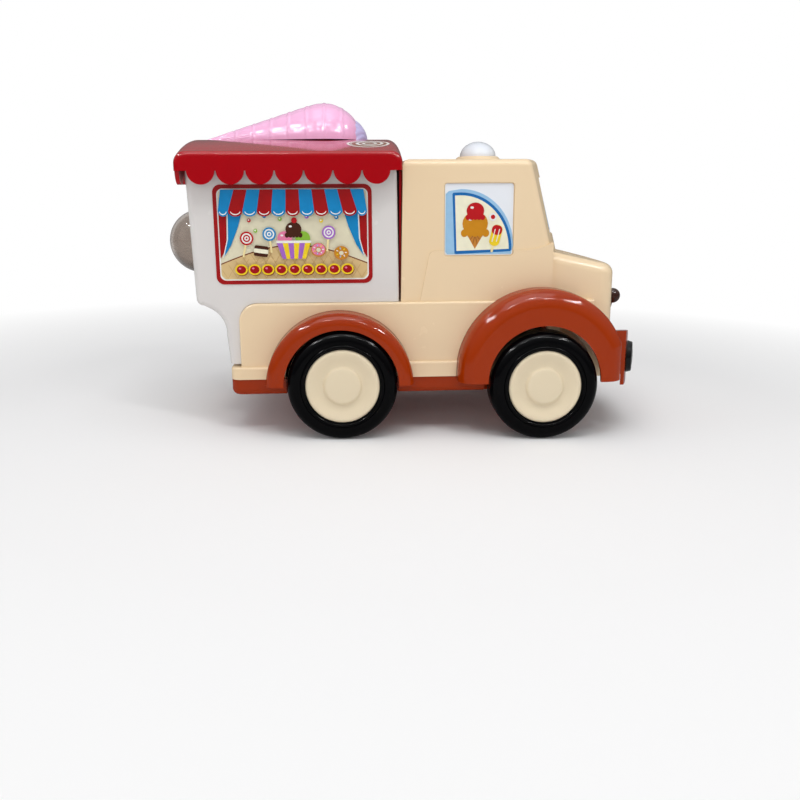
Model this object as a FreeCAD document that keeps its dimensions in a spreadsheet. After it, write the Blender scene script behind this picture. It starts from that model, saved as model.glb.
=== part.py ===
import FreeCAD, Part
import math
import os
import Sketcher

# Toy ice cream truck: a moulded plastic push toy with a friction motor.
# Millimetres.  +X is forward, +Y is the truck's left, Z = 0 is the floor.

V = FreeCAD.Vector
doc = FreeCAD.newDocument("ToyIceCreamTruck")


# ---------------------------------------------------------------- sizes
# alias, value, what it measures
SIZES = [
    ("front_axle_x", 68.70, "front axle ahead of the middle of the truck"),
    ("wheelbase", 101.0, "front axle to rear axle"),
    ("stance_drop", 2.115, "front axle sits this much lower in the truck than the rear one"),
    ("body_half", 52.5, "half width of the lower body"),
    ("wheel_out", 16.5, "outer face of the wheels outside the body"),
    ("tyre_radius", 27.4, "outside of the tread"),
    ("tyre_width", 17.5, "tread, edge to edge"),
    ("tyre_shoulder", 3.6, "rounding between tread and side wall"),
    ("hub_radius", 18.4, "seat of the tyre on the hub"),
    ("disc_radius", 9.8, "raised disc in the middle of the hub"),
    ("disc_slope", 2.6, "width of the slope round the raised disc"),
    ("hub_dish", 0.9, "depth of the dish round the raised disc"),
    ("hub_edge", 1.6, "rounding of the hub's rim"),
    ("hub_skin", 2.4, "thickness of the hub's face and rim"),
    ("boss_radius", 5.0, "boss in the hub round the axle"),
    ("axle_radius", 2.0, "steel axle"),
    ("axle_clearance", 0.08, "running clearance of the axle in its bearing"),
    ("wheel_gap", 1.1, "tyre to the arch round it"),
    ("wall", 2.0, "wall of the mouldings"),
    ("seat_gap", 0.1, "gap between parts that are pushed together"),
    ("pan_floor_z", 21.4, "underside of the chassis pan"),
    ("sill_z", 29.6, "top of the pan, bottom of the body"),
    ("pan_out", 1.0, "chassis pan outside the body"),
    ("pan_edge", 3.0, "rounding along the pan's lower edge"),
    ("pan_front", 26.0, "front of the pan ahead of the front axle"),
    ("pan_wheel_gap", 2.0, "inside of a wheel to the pan"),
    ("bearing_in", 10.5, "inner face of a bearing post inside the body's side"),
    ("bearing_width", 5.0, "thickness of a bearing post"),
    ("bearing_wall", 4.5, "bearing post round the axle"),
    ("deck_z", 67.6, "top of the lower body"),
    ("deck_round", 1.2, "rounding of its side edges"),
    ("tail_x", 50.8, "rear wall of the body behind the rear axle"),
    ("tail_round", 9.0, "rounding at the top of the rear wall"),
    ("ledge_out", 1.6, "ledge along the body's bottom edge, sideways"),
    ("ledge_back", 5.2, "the same ledge, backwards"),
    ("ledge_height", 6.2, "height of the ledge behind the rear wheels"),
    ("ledge_middle", 7.9, "height of the ledge between the wheels"),
    ("ledge_round", 5.0, "rounding of the ledge's rear corners"),
    ("door_in", 1.5, "door panel, up to the belt line, inside the body's side"),
    ("door_foot", 8.0, "door panel's rear edge ahead of the cab's rear wall, at the deck"),
    ("door_top", 12.8, "the same at the belt"),
    ("door_corner", 3.4, "rounding of the door panel's upper corner"),
    ("belt_turn", 16.0, "belt line starts to rise this far behind the door pillar"),
    ("belt_bend", 40.0, "radius of that rise"),
    ("cab_in", 0.7, "cab's side inside the door panel"),
    ("cab_back", 69.8, "cab's rear wall behind the front axle"),
    ("belt_z", 92.8, "belt line beside the window"),
    ("belt_rise", 3.4, "rise of the belt line to the windscreen"),
    ("cowl_x", 5.7, "door pillar ahead of the front axle at the belt"),
    ("screen_foot_x", 4.1, "windscreen's corner ahead of the front axle"),
    ("screen_lean", 11.5, "windscreen's slope, foot to roof"),
    ("roof_z", 136.75, "top of the cab"),
    ("roof_round", 3.6, "rounding of the cab's edges"),
    ("nose_bend", 120.0, "radius of the nose, seen from above"),
    ("hood_in", 4.3, "hood's side inside the body's side"),
    ("nose_x", 46.6, "front of the nose ahead of the front axle"),
    ("hood_back_z", 92.1, "top of the hood at the windscreen"),
    ("hood_drop", 9.8, "fall of the hood to the nose"),
    ("hood_round", 5.5, "rounding of the hood's edges"),
    ("nose_corner", 8.0, "rounding of the nose's corners, from above"),
    ("window_back", 49.4, "rear edge of the window behind the front axle"),
    ("window_width", 34.9, "side window"),
    ("window_z", 90.0, "lower edge of the side window"),
    ("window_height", 35.6, "side window"),
    ("window_depth", 1.2, "recess of the side window"),
    ("screen_depth", 0.9, "recess of the windscreen"),
    ("screen_z", 99.4, "lower edge of the windscreen's recess"),
    ("screen_height", 28.6, "windscreen's recess"),
    ("screen_side", 8.3, "windscreen's recess to the cab's side, at its foot"),
    ("screen_taper", 4.0, "narrowing of the recess, foot to top"),
    ("collar_height", 2.4, "collar round the roof lamp"),
    ("collar_out", 2.6, "collar's foot outside the lamp"),
    ("lamp_back", 25.7, "roof lamp's centre behind the front axle"),
    ("lamp_half_x", 9.5, "roof lamp, half length"),
    ("lamp_half_y", 15.0, "roof lamp, half width"),
    ("lamp_height", 7.8, "roof lamp over its collar"),
    ("rear_arch_out", 36.8, "outside of the rear wheel arch"),
    ("rear_arch_back", 1.2, "rear arch's centre behind the axle"),
    ("rear_arch_up", -1.3, "rear arch's centre over the axle"),
    ("rear_arch_round", 5.4, "rounding of the rear arch's edge"),
    ("rear_opening_up", -0.7, "centre of the rear wheel's opening over the axle"),
    ("rear_opening_back", 0.5, "centre of that opening behind the axle"),
    ("front_opening_up", 2.0, "centre of the front wheel's opening over the axle"),
    ("arch_foot_z", 28.1, "lower end of the wheel arches"),
    ("front_arch_out", 42.9, "outside of the front wheel arch"),
    ("front_arch_up", 5.0, "front arch's centre over the axle"),
    ("front_arch_round", 8.5, "rounding of the front arch's edge"),
    ("front_arch_end", 40.2, "front end of the front arch ahead of the axle"),
    ("arch_out", 15.1, "outer face of the wheel arches outside the body"),
    ("bumper_z", 22.6, "lower edge of the bumper"),
    ("bumper_height", 28.8, "bumper, at the headlamps"),
    ("bumper_dip", 11.0, "dip of its upper edge between the headlamps"),
    ("bumper_dip_half", 20.0, "half width of that dip"),
    ("bumper_dip_slope", 15.0, "width of the dip's slopes"),
    ("bumper_lobe_drop", 2.4, "fall of the upper edge from the bumper's ends to the dip"),
    ("bumper_end_z", 28.4, "lower edge of the bumper's end walls"),
    ("hood_foot_z", 27.0, "lower edge of the nose behind the bumper"),
    ("bumper_out", 10.1, "bumper ahead of the nose"),
    ("bumper_in", 1.9, "bumper's end inside the body's side"),
    ("bumper_round", 2.6, "rounding of the bumper's edges"),
    ("headlamp_in", 9.6, "headlamp's centre inside the bumper's end"),
    ("headlamp_z", 35.9, "centre of the headlamp"),
    ("headlamp_radius", 8.4, "headlamp at its back"),
    ("headlamp_taper", 0.7, "headlamp's front is smaller by this"),
    ("headlamp_depth", 2.4, "headlamp, back to front"),
    ("grille_half", 25.0, "knob of the grille bar from the middle"),
    ("grille_z", 66.2, "knobs of the grille bar"),
    ("grille_knob", 4.0, "radius of a knob"),
    ("grille_knob_out", 1.1, "centre of a knob ahead of the nose"),
    ("grille_bar", 1.15, "radius of a bar"),
    ("grille_bar_out", 0.4, "centre of a bar ahead of the nose"),
    ("grille_sag_top", 4.3, "upper bar's sag"),
    ("grille_sag_low", 11.6, "lower bar's sag"),
    ("box_in", 2.5, "cargo box's side inside the body's side"),
    ("box_gap", 1.9, "cargo box to the cab"),
    ("box_top_z", 139.0, "upper edge of the cargo box"),
    ("box_tail_x", 71.75, "box's rear wall at the deck behind the rear axle"),
    ("box_lean", 2.3, "rear wall's slope, deck to top"),
    ("box_front_lean", 1.0, "front wall's slope, deck to top"),
    ("box_corner", 3.0, "rounding of the box's rear corners"),
    ("box_front_corner", 1.6, "rounding of the box's front corners"),
    ("apron_foot_z", 37.0, "lower end of the apron under the box"),
    ("apron_bend", 13.5, "hollow curve between box and apron"),
    ("apron_step", 1.0, "box's bottom over the start of that curve"),
    ("apron_heel", 3.4, "rounding between rear wall and underside"),
    ("apron_top_x", 64.5, "start of the hollow curve behind the rear axle"),
    ("apron_top_drop", 3.0, "start of the hollow curve under the deck"),
    ("apron_waist_x", 57.7, "end of the hollow curve behind the rear axle"),
    ("apron_waist_drop", 15.8, "end of the hollow curve under the deck"),
    ("apron_foot_x", 56.4, "apron's foot behind the rear axle"),
    ("lid_over", 7.5, "box's roof over the cargo box, sideways"),
    ("lid_back_x", 77.6, "rear of the box's roof behind the rear axle"),
    ("lid_band", 8.5, "skirt of the box's roof, above the scallops"),
    ("lid_up", 1.0, "top of the skirt over the cargo box's upper edge"),
    ("lid_rise", 7.9, "camber of the roof"),
    ("lid_round", 5.5, "rounding of the roof's front and rear edges"),
    ("lid_side_round", 2.4, "rounding of the roof's side edges"),
    ("lid_gap", 0.3, "box's roof to the cab"),
    ("lobe_radius", 6.6, "scallop"),
    ("lobe_pitch", 13.86, "scallop to scallop along the sides"),
    ("lobe_pitch_across", 13.4, "scallop to scallop across the ends"),
    ("lobe_rise", 0.25, "scallops' centres over the skirt's edge"),
    ("cone_tip_x", 70.3, "cone's tip behind the rear axle"),
    ("cone_length", 61.5, "cone, tip to widest"),
    ("cone_radius", 20.3, "cone at its widest"),
    ("cone_sunk", 1.4, "axis of the cone under the crest of the roof"),
    ("cone_tip", 1.6, "radius of the cone's tip"),
    ("cone_mouth", 18.5, "cone's mouth ahead of its widest"),
    ("cone_mouth_radius", 11.0, "cone's mouth"),
    ("scoop_radius", 13.0, "ball of ice cream in the cone's mouth"),
    ("bubble_radius", 16.8, "clear dome on the rear wall"),
    ("bubble_skirt", 2.2, "straight skirt of the clear dome"),
    ("bubble_flange", 2.0, "flange of the clear dome"),
    ("bubble_flange_depth", 1.0, "thickness of that flange"),
    ("bubble_wall", 1.4, "wall of the clear dome"),
    ("bubble_z", 95.5, "centre of the clear dome"),
    ("sticker_thickness", 0.3, "printed stickers"),
    ("sticker_front", 13.3, "side sticker behind the box's front"),
    ("sticker_length", 76.9, "side sticker"),
    ("sticker_z", 77.2, "lower edge of the side sticker"),
    ("sticker_height", 48.0, "side sticker"),
    ("sticker_corner", 3.8, "rounding of the side sticker's corners"),
    ("window_inset", 0.4, "window sticker inside its recess"),
    ("window_corner", 1.6, "rounding of the window's corners"),
    ("motor_length", 44.0, "friction motor, along the truck"),
    ("motor_half", 19.0, "friction motor, half width"),
    ("motor_height", 26.0, "friction motor"),
    ("motor_clearance", 0.5, "axle's clearance in the motor's case"),
]
LOBES_ALONG = 7
LOBES_ACROSS = 8

sheet = doc.addObject("Spreadsheet::Sheet", "Sizes")
for row, (alias, value, note) in enumerate(SIZES, start=1):
    sheet.set(f"A{row}", note)
    sheet.set(f"B{row}", str(value))
    sheet.setAlias(f"B{row}", alias)
doc.recompute()


class Size:
    """A length that knows its number and the sheet expression behind it."""

    def __init__(self, number, text):
        self.number = number
        self.text = text

    def __add__(self, other):
        other = size(other)
        return Size(self.number + other.number, f"({self.text} + {other.text})")

    def __sub__(self, other):
        other = size(other)
        return Size(self.number - other.number, f"({self.text} - {other.text})")

    def __mul__(self, other):
        other = size(other)
        return Size(self.number * other.number, f"({self.text} * {other.text})")

    def __truediv__(self, other):
        other = size(other)
        return Size(self.number / other.number, f"({self.text} / {other.text})")

    def __neg__(self):
        return size(0) - self

    __radd__ = __add__

    def __rmul__(self, other):
        return self * other

    def __rsub__(self, other):
        return size(other) - self


def size(value):
    return value if isinstance(value, Size) else Size(float(value), f"{float(value):.6f}")


def root(value):
    return Size(math.sqrt(value.number), f"sqrt({value.text})")


class Sheet:
    """Sizes by name: S.wall is the cell called wall."""


S = Sheet()
for alias, value, note in SIZES:
    setattr(S, alias, Size(value, f"Sizes.{alias}"))

# places that several parts share
S.wheel_face_y = S.body_half + S.wheel_out
S.pan_half = S.body_half + S.pan_out
S.bearing_half = S.body_half - S.bearing_in
S.door_half = S.body_half - S.door_in
S.cab_half = S.door_half - S.cab_in
S.hood_half = S.body_half - S.hood_in
S.screen_half = S.cab_half - S.screen_side
S.arch_face_y = S.body_half + S.arch_out
S.bumper_half = S.body_half - S.bumper_in
S.headlamp_y = S.bumper_half - S.headlamp_in
S.box_half = S.body_half - S.box_in
S.lid_half = S.box_half + S.lid_over
S.lid_edge_z = S.box_top_z + S.lid_up
S.lid_skirt_z = S.lid_edge_z - S.lid_band
S.rear_axle_x = S.front_axle_x - S.wheelbase
S.axle_z = S.tyre_radius
S.rear_hole_z = S.axle_z + S.stance_drop / 2
S.front_hole_z = S.axle_z - S.stance_drop / 2
S.arch_radius = S.tyre_radius + S.wheel_gap
S.arch_root_y = S.door_half + S.seat_gap
S.ledge_half = S.body_half + S.ledge_out
S.cab_back_x = S.front_axle_x - S.cab_back
S.box_front_x = S.cab_back_x - S.box_gap
S.box_tail_at = S.rear_axle_x - S.box_tail_x
S.body_tail_at = S.rear_axle_x - S.tail_x
S.nose_at = S.front_axle_x + S.nose_x
S.bumper_at = S.nose_at + S.bumper_out
S.lid_front_x = S.cab_back_x - S.lid_gap
S.lid_back_at = S.rear_axle_x - S.lid_back_x
S.camber_radius = (S.lid_half * S.lid_half + S.lid_rise * S.lid_rise) / (2 * S.lid_rise)
S.crest_z = S.lid_edge_z + S.lid_rise
S.cone_axis_z = S.crest_z - S.cone_sunk
S.window_plane_y = S.cab_half - S.window_depth


# ---------------------------------------------------------------- helpers
def bind(thing, prop, value):
    thing.setExpression(prop, size(value).text)


def plane_of(body, role):
    return next(f for f in body.Origin.OriginFeatures if f.Role == role)


def new_body(label):
    body = doc.addObject("PartDesign::Body", label)
    body.Label = label
    return body


def new_sketch(body, role, offset):
    """A sketch on one of the body's own planes, moved along that plane's normal."""
    sketch = body.newObject("Sketcher::SketchObject", body.Label + "_sketch")
    sketch.AttachmentSupport = (plane_of(body, role), [""])
    sketch.MapMode = "FlatFace"
    bind(sketch, "AttachmentOffset.Base.z", offset)
    return sketch


def pin(sketch, kind, geometry, point, value, name):
    """Ties a point's distance from the sketch's origin to the sheet."""
    value = size(value)
    index = sketch.addConstraint(Sketcher.Constraint(kind, -1, 1, geometry, point, value.number))
    sketch.renameConstraint(index, name)
    sketch.setExpression(f"Constraints.{name}", value.text)


def pin_radius(sketch, geometry, value, name):
    index = sketch.addConstraint(Sketcher.Constraint("Radius", geometry, size(value).number))
    sketch.renameConstraint(index, name)
    sketch.setExpression(f"Constraints.{name}", size(value).text)


def draw(sketch, corners):
    """A closed outline.  Each corner is (x, y), or (x, y, bend) where an arc of
    radius bend arrives there: plus turns left on the way, minus turns right."""
    corners = [tuple(size(v) for v in corner) for corner in corners]
    prefix = f"o{sketch.GeometryCount}_"
    joints = []
    for number, corner in enumerate(corners):
        start, end = corners[number - 1], corner
        p = V(start[0].number, start[1].number, 0)
        q = V(end[0].number, end[1].number, 0)
        if len(end) == 2:
            geometry = sketch.addGeometry(Part.LineSegment(p, q))
            joints.append((geometry, 1, 2))
            continue
        bend = end[2].number
        radius = abs(bend)
        across = q - p
        rise = math.sqrt(radius ** 2 - (across.Length / 2) ** 2) * (1 if bend > 0 else -1)
        centre = (p + q) / 2 + V(-across.y, across.x, 0) / across.Length * rise
        first, last = (p, q) if bend > 0 else (q, p)
        angles = [math.atan2(v.y - centre.y, v.x - centre.x) for v in (first, last)]
        circle = Part.Circle(centre, V(0, 0, 1), radius)
        geometry = sketch.addGeometry(Part.ArcOfCircle(circle, angles[0], angles[1]))
        joints.append((geometry, 1, 2) if bend > 0 else (geometry, 2, 1))
        pin_radius(sketch, geometry, end[2] if bend > 0 else -end[2], f"{prefix}r{number}")
    for number, (geometry, start, end) in enumerate(joints):
        after, after_start, _ = joints[(number + 1) % len(joints)]
        sketch.addConstraint(Sketcher.Constraint("Coincident", geometry, end, after, after_start))
        pin(sketch, "DistanceX", geometry, end, corners[number][0], f"{prefix}x{number}")
        pin(sketch, "DistanceY", geometry, end, corners[number][1], f"{prefix}y{number}")


def draw_circle(sketch, x, y, radius):
    number = sketch.GeometryCount
    circle = Part.Circle(V(size(x).number, size(y).number, 0), V(0, 0, 1), size(radius).number)
    geometry = sketch.addGeometry(circle)
    pin(sketch, "DistanceX", geometry, 3, x, f"c{number}x")
    pin(sketch, "DistanceY", geometry, 3, y, f"c{number}y")
    pin_radius(sketch, geometry, radius, f"c{number}r")


def rectangle(x0, x1, y0, y1):
    return [(x0, y0), (x1, y0), (x1, y1), (x0, y1)]


def rounded(x0, x1, y0, y1, r):
    """A rectangle with round corners."""
    return [(x0 + r, y0, r), (x1 - r, y0), (x1, y0 + r, r), (x1, y1 - r),
            (x1 - r, y1, r), (x0 + r, y1), (x0, y1 - r, r), (x0, y0 + r)]


def feature(body, kind, sketch, length, backwards=False):
    """A Pad or Pocket of a sketch.  A Pad runs along the sketch's normal and a
    Pocket against it, unless it is turned backwards."""
    before = body.Shape.Volume if body.Tip else 0.0
    item = body.newObject("PartDesign::" + kind, f"{body.Label}_{kind.lower()}")
    item.Profile = sketch
    item.Reversed = backwards
    bind(item, "Length", length)
    doc.recompute()
    grown = body.Shape.Volume - before
    if (grown <= 0) if kind == "Pad" else (grown >= 0):
        raise RuntimeError(f"{item.Label} changed nothing")
    return item


def across(body, half, corners, kind="Pad"):
    """Side view outline (x, z) taken across the truck, from -half to +half."""
    sketch = new_sketch(body, "XZ_Plane", -size(half))
    draw(sketch, corners)
    return feature(body, kind, sketch, 2 * half, backwards=kind == "Pocket")


def upwards(body, low, high, corners, kind="Pad"):
    """Plan outline (x, y) taken from height low to height high."""
    sketch = new_sketch(body, "XY_Plane", low)
    draw(sketch, corners)
    return feature(body, kind, sketch, size(high) - low, backwards=kind == "Pocket")


def sideways(body, side, low, high, corners=(), kind="Pad", circles=()):
    """Side view outline (x, z) taken outwards from low to high, on the left where
    side is 1 and on the right where it is -1."""
    sketch = new_sketch(body, "XZ_Plane", -side * size(low))
    if corners:
        draw(sketch, corners)
    for circle in circles:
        draw_circle(sketch, *circle)
    return feature(body, kind, sketch, size(high) - low, (side == 1) == (kind == "Pad"))


def round_edges(body, radius, chosen):
    """Rounds the edges that the test picks by their middle and direction."""
    shape = body.Shape
    names = []
    for number, edge in enumerate(shape.Edges, start=1):
        middle = edge.valueAt((edge.FirstParameter + edge.LastParameter) / 2)
        if chosen(middle, edge):
            names.append(f"Edge{number}")
    base = body.Tip
    item = body.newObject("PartDesign::Fillet", body.Label + "_round")
    item.Base = (base, names)
    bind(item, "Radius", radius)
    doc.recompute()
    if "Invalid" in item.State:
        raise RuntimeError(f"{item.Label} failed on {names}")
    return item


def near(a, b, slack=0.05):
    return abs(a - size(b).number) < slack


def upright(edge):
    ends = edge.Vertexes
    if len(ends) < 2:
        return False
    run = ends[-1].Point - ends[0].Point
    return abs(run.z) > 0.9 * run.Length


def nose_arc(front_x, y):
    """How far forward the curved front reaches at y."""
    bend = S.nose_bend
    return front_x - bend + root(bend * bend - size(y) * size(y))


# the truck's two ends: axle (x and z), arch (centre x and z, radius), opening (centre x and z)
REAR = (S.rear_axle_x, S.rear_hole_z,
        (S.rear_axle_x - S.rear_arch_back, S.rear_hole_z + S.rear_arch_up, S.rear_arch_out),
        (S.rear_axle_x - S.rear_opening_back, S.rear_hole_z + S.rear_opening_up))
FRONT = (S.front_axle_x, S.front_hole_z,
         (S.front_axle_x, S.front_hole_z + S.front_arch_up, S.front_arch_out),
         (S.front_axle_x, S.front_hole_z + S.front_opening_up))


# ---------------------------------------------------------------- body shell
def screen_section(corner_x, half, inset):
    """Plan of the cab over the belt, moved in by inset."""
    half = half - inset
    back = S.cab_back_x + inset
    front = corner_x - inset
    bend = S.nose_bend - inset
    return [(back, half), (back, -half), (front, -half), (front, half, bend)]


def cab_loft(body, kind, inset, low, high):
    """Cab over the belt: two plans joined by straight lines."""
    foot_x = S.front_axle_x + S.screen_foot_x
    slope = S.screen_lean / (S.roof_z - S.belt_z)
    sketches = []
    for z in (low, high):
        sketch = new_sketch(body, "XY_Plane", z)
        draw(sketch, screen_section(foot_x - slope * (size(z) - S.belt_z), S.cab_half, inset))
        sketches.append(sketch)
    loft = body.newObject(f"PartDesign::{kind}Loft", f"{body.Label}_{kind.lower()}_cab")
    loft.Profile = sketches[0]
    loft.Sections = [sketches[1]]
    loft.Ruled = True
    doc.recompute()
    return loft


def screen_recess(body):
    """Shallow recess of the windscreen in the curved, leaning front."""
    foot_x = S.front_axle_x + S.screen_foot_x
    slope = S.screen_lean / (S.roof_z - S.belt_z)
    bend = S.nose_bend
    corner_drop = bend - root(bend * bend - S.cab_half * S.cab_half)
    sketches = []
    for z, half in ((S.screen_z, S.screen_half),
                    (S.screen_z + S.screen_height, S.screen_half - S.screen_taper)):
        front = foot_x - slope * (z - S.belt_z) + corner_drop
        side = front - bend + root(bend * bend - half * half)
        depth, clear = S.screen_depth, S.screen_depth
        sketch = new_sketch(body, "XY_Plane", z)
        draw(sketch, [(side + clear, half, bend + clear), (side - depth, half),
                      (side - depth, -half, -(bend - depth)), (side + clear, -half)])
        sketches.append(sketch)
    loft = body.newObject("PartDesign::SubtractiveLoft", "windscreen_recess")
    loft.Profile = sketches[0]
    loft.Sections = [sketches[1]]
    loft.Ruled = True
    doc.recompute()


def make_body_shell():
    body = new_body("body_shell")
    cowl_x = S.front_axle_x + S.cowl_x
    cover_x = S.front_axle_x + S.tyre_radius
    # lower body, hood, doors
    across(body, S.body_half, rectangle(S.body_tail_at, cover_x, S.sill_z, S.deck_z))
    round_edges(body, S.tail_round,
                lambda m, e: near(m.x, S.body_tail_at) and near(m.z, S.deck_z))
    bend, corner = S.nose_bend, S.hood_half
    hood_foot = S.hood_foot_z
    across(body, S.hood_half, [(cowl_x - S.wall, hood_foot), (S.nose_at, hood_foot),
                               (S.nose_at, S.hood_back_z - S.hood_drop),
                               (cowl_x - S.wall, S.hood_back_z)])
    side_x = nose_arc(S.nose_at, corner)
    beyond = S.nose_at + S.wall
    upwards(body, hood_foot - S.wall, S.hood_back_z + S.wall,
            [(side_x, corner, bend), (side_x, corner + S.wall), (beyond, corner + S.wall),
             (beyond, -(corner + S.wall)), (side_x, -(corner + S.wall)), (side_x, -corner)],
            "Pocket")
    round_edges(body, S.nose_corner,
                lambda m, e: upright(e) and near(abs(m.y), corner) and near(m.x, side_x))
    round_edges(body, S.hood_round,
                lambda m, e: m.z > S.hood_back_z.number - S.hood_drop.number - 1
                and m.x > cowl_x.number + 3 and not upright(e))
    across(body, S.cab_half, rectangle(S.cab_back_x, cowl_x - S.wall,
                                       S.deck_z - S.wall, S.belt_z - S.wall / 2))
    corner = S.door_corner
    across(body, S.door_half, [
        (S.cab_back_x + S.door_foot, S.deck_z - S.wall), (cowl_x, S.deck_z - S.wall),
        (cowl_x, S.belt_z + S.belt_rise), (cowl_x - S.belt_turn, S.belt_z, -S.belt_bend),
        (S.cab_back_x + S.door_top + corner, S.belt_z),
        (S.cab_back_x + S.door_top, S.belt_z - corner, corner)])
    cab_loft(body, "Additive", size(0), S.belt_z - S.wall, S.roof_z)
    round_edges(body, S.roof_round,
                lambda m, e: near(m.z, S.roof_z, 0.5) or (m.z > S.belt_z.number + 8
                and m.z < S.roof_z.number - 8 and m.x > S.front_axle_x.number - 20))
    # ledge along the bottom edge
    upwards(body, S.sill_z, S.sill_z + S.ledge_height,
            rectangle(S.body_tail_at - S.ledge_back, S.rear_axle_x,
                      -S.ledge_half, S.ledge_half))
    round_edges(body, S.ledge_round,
                lambda m, e: upright(e) and near(m.x, S.body_tail_at - S.ledge_back))
    upwards(body, S.sill_z, S.sill_z + S.ledge_middle,
            rectangle(S.rear_axle_x, S.front_axle_x, -S.ledge_half, S.ledge_half))
    round_edges(body, S.deck_round,
                lambda m, e: near(m.z, S.deck_z) and near(abs(m.y), S.body_half)
                or near(m.z, S.sill_z + S.ledge_height) and m.x < S.rear_axle_x.number - 1
                and (abs(m.y) > S.body_half.number + 0.1
                     or m.x < S.body_tail_at.number - 0.1)
                or near(m.z, S.sill_z + S.ledge_middle) and near(abs(m.y), S.ledge_half))
    # collar of the roof lamp
    collar = body.newObject("PartDesign::AdditiveEllipsoid", "collar")
    collar.AttachmentSupport = (plane_of(body, "XY_Plane"), [""])
    collar.MapMode = "FlatFace"
    bind(collar, "AttachmentOffset.Base.x", S.front_axle_x - S.lamp_back)
    bind(collar, "AttachmentOffset.Base.z", S.roof_z)
    bind(collar, "Radius1", 2 * S.collar_height)
    bind(collar, "Radius2", S.lamp_half_x + S.collar_out)
    bind(collar, "Radius3", S.lamp_half_y + S.collar_out)
    doc.recompute()
    lamp_x = S.front_axle_x - S.lamp_back
    reach = S.lamp_half_y + S.collar_out
    upwards(body, S.roof_z + S.collar_height, S.roof_z + 3 * S.collar_height,
            rectangle(lamp_x - reach, lamp_x + reach, -reach, reach), "Pocket")
    # seats of the wheel arches
    for side in (1, -1):
        for _, _, (x, z, out), _ in (REAR, FRONT):
            sideways(body, side, S.door_half, S.ledge_half + S.wall, kind="Pocket",
                     circles=[(x, z, out + S.seat_gap)])
        # side window's recess
        back = S.front_axle_x - S.window_back
        sideways(body, side, S.window_plane_y, S.door_half + S.wall,
                 rounded(back, back + S.window_width, S.window_z,
                         S.window_z + S.window_height, S.window_corner), "Pocket")
    screen_recess(body)
    # the hollow inside: lower body, doors, cab, hood
    inside = S.window_plane_y - S.wall
    across(body, S.door_half - S.wall,
           rectangle(S.body_tail_at + S.wall, cover_x - S.wall,
                     S.sill_z - S.wall, S.deck_z - S.wall), "Pocket")
    across(body, inside, rectangle(S.cab_back_x + S.wall, cowl_x - S.wall - S.screen_depth,
                                   S.deck_z - 2 * S.wall, S.belt_z - S.wall), "Pocket")
    cab_loft(body, "Subtractive", S.wall + S.screen_depth,
             S.belt_z - 2 * S.wall, S.roof_z - S.wall)
    inner = S.hood_half - S.wall
    inner_x = nose_arc(S.nose_at, inner) - S.wall
    upwards(body, hood_foot - S.wall, S.hood_back_z - S.hood_drop - S.wall,
            [(cowl_x - 2 * S.wall, -inner), (inner_x, -inner),
             (inner_x, inner, S.nose_bend - S.wall), (cowl_x - 2 * S.wall, inner)], "Pocket")
    # openings round the wheels
    for _, _, _, opening in (REAR, FRONT):
        sketch = new_sketch(body, "XZ_Plane", -S.body_half)
        draw_circle(sketch, *opening, S.arch_radius)
        feature(body, "Pocket", sketch, 2 * S.body_half, backwards=True)
    return body


# ---------------------------------------------------------------- wheel arches
def arch_outline(arch, inset, end, foot):
    """Side view of an arch: a round top over a foot, cut off ahead at end."""
    x, z, out = arch
    out = out - inset
    leg = root(out * out - (z - foot) * (z - foot))
    top = (x, z + out, out)
    if end is None:
        return [(x - leg, foot, out), (x + leg, foot), top]
    end = end - inset
    shoulder = z + root(out * out - end * end)
    return [(x - leg, foot, out), (x + end, foot), (x + end, shoulder), top]


def make_arch(label, side, place_of, end, edge):
    body = new_body(label)
    axle_x, _, arch, opening = place_of
    face, foot = S.arch_face_y, S.arch_foot_z
    sideways(body, side, S.arch_root_y, face, arch_outline(arch, size(0), end, foot))
    above_foot = foot.number + 0.5
    round_edges(body, edge, lambda m, e: near(abs(m.y), face) and m.z > above_foot)
    for inset, depth in ((S.wall, edge), (S.wall + 0.4 * edge, S.wall)):
        sideways(body, side, S.arch_root_y, face - depth,
                 arch_outline(arch, inset, end, foot - S.wall), "Pocket")
    sideways(body, side, S.arch_root_y, face + S.wall, kind="Pocket",
             circles=[(*opening, S.arch_radius)])
    # notch round the pan's edge
    sideways(body, side, S.arch_root_y, S.pan_half + S.seat_gap,
             rectangle(axle_x - S.wheelbase / 2, axle_x + S.wheelbase / 2,
                       foot - S.wall, S.sill_z + S.seat_gap), "Pocket")
    return body


def make_arches():
    for side, hand in ((1, "left"), (-1, "right")):
        make_arch(f"rear_wheel_arch_{hand}", side, REAR, None, S.rear_arch_round)
        make_arch(f"front_wheel_arch_{hand}", side, FRONT, S.front_arch_end, S.front_arch_round)


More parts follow.
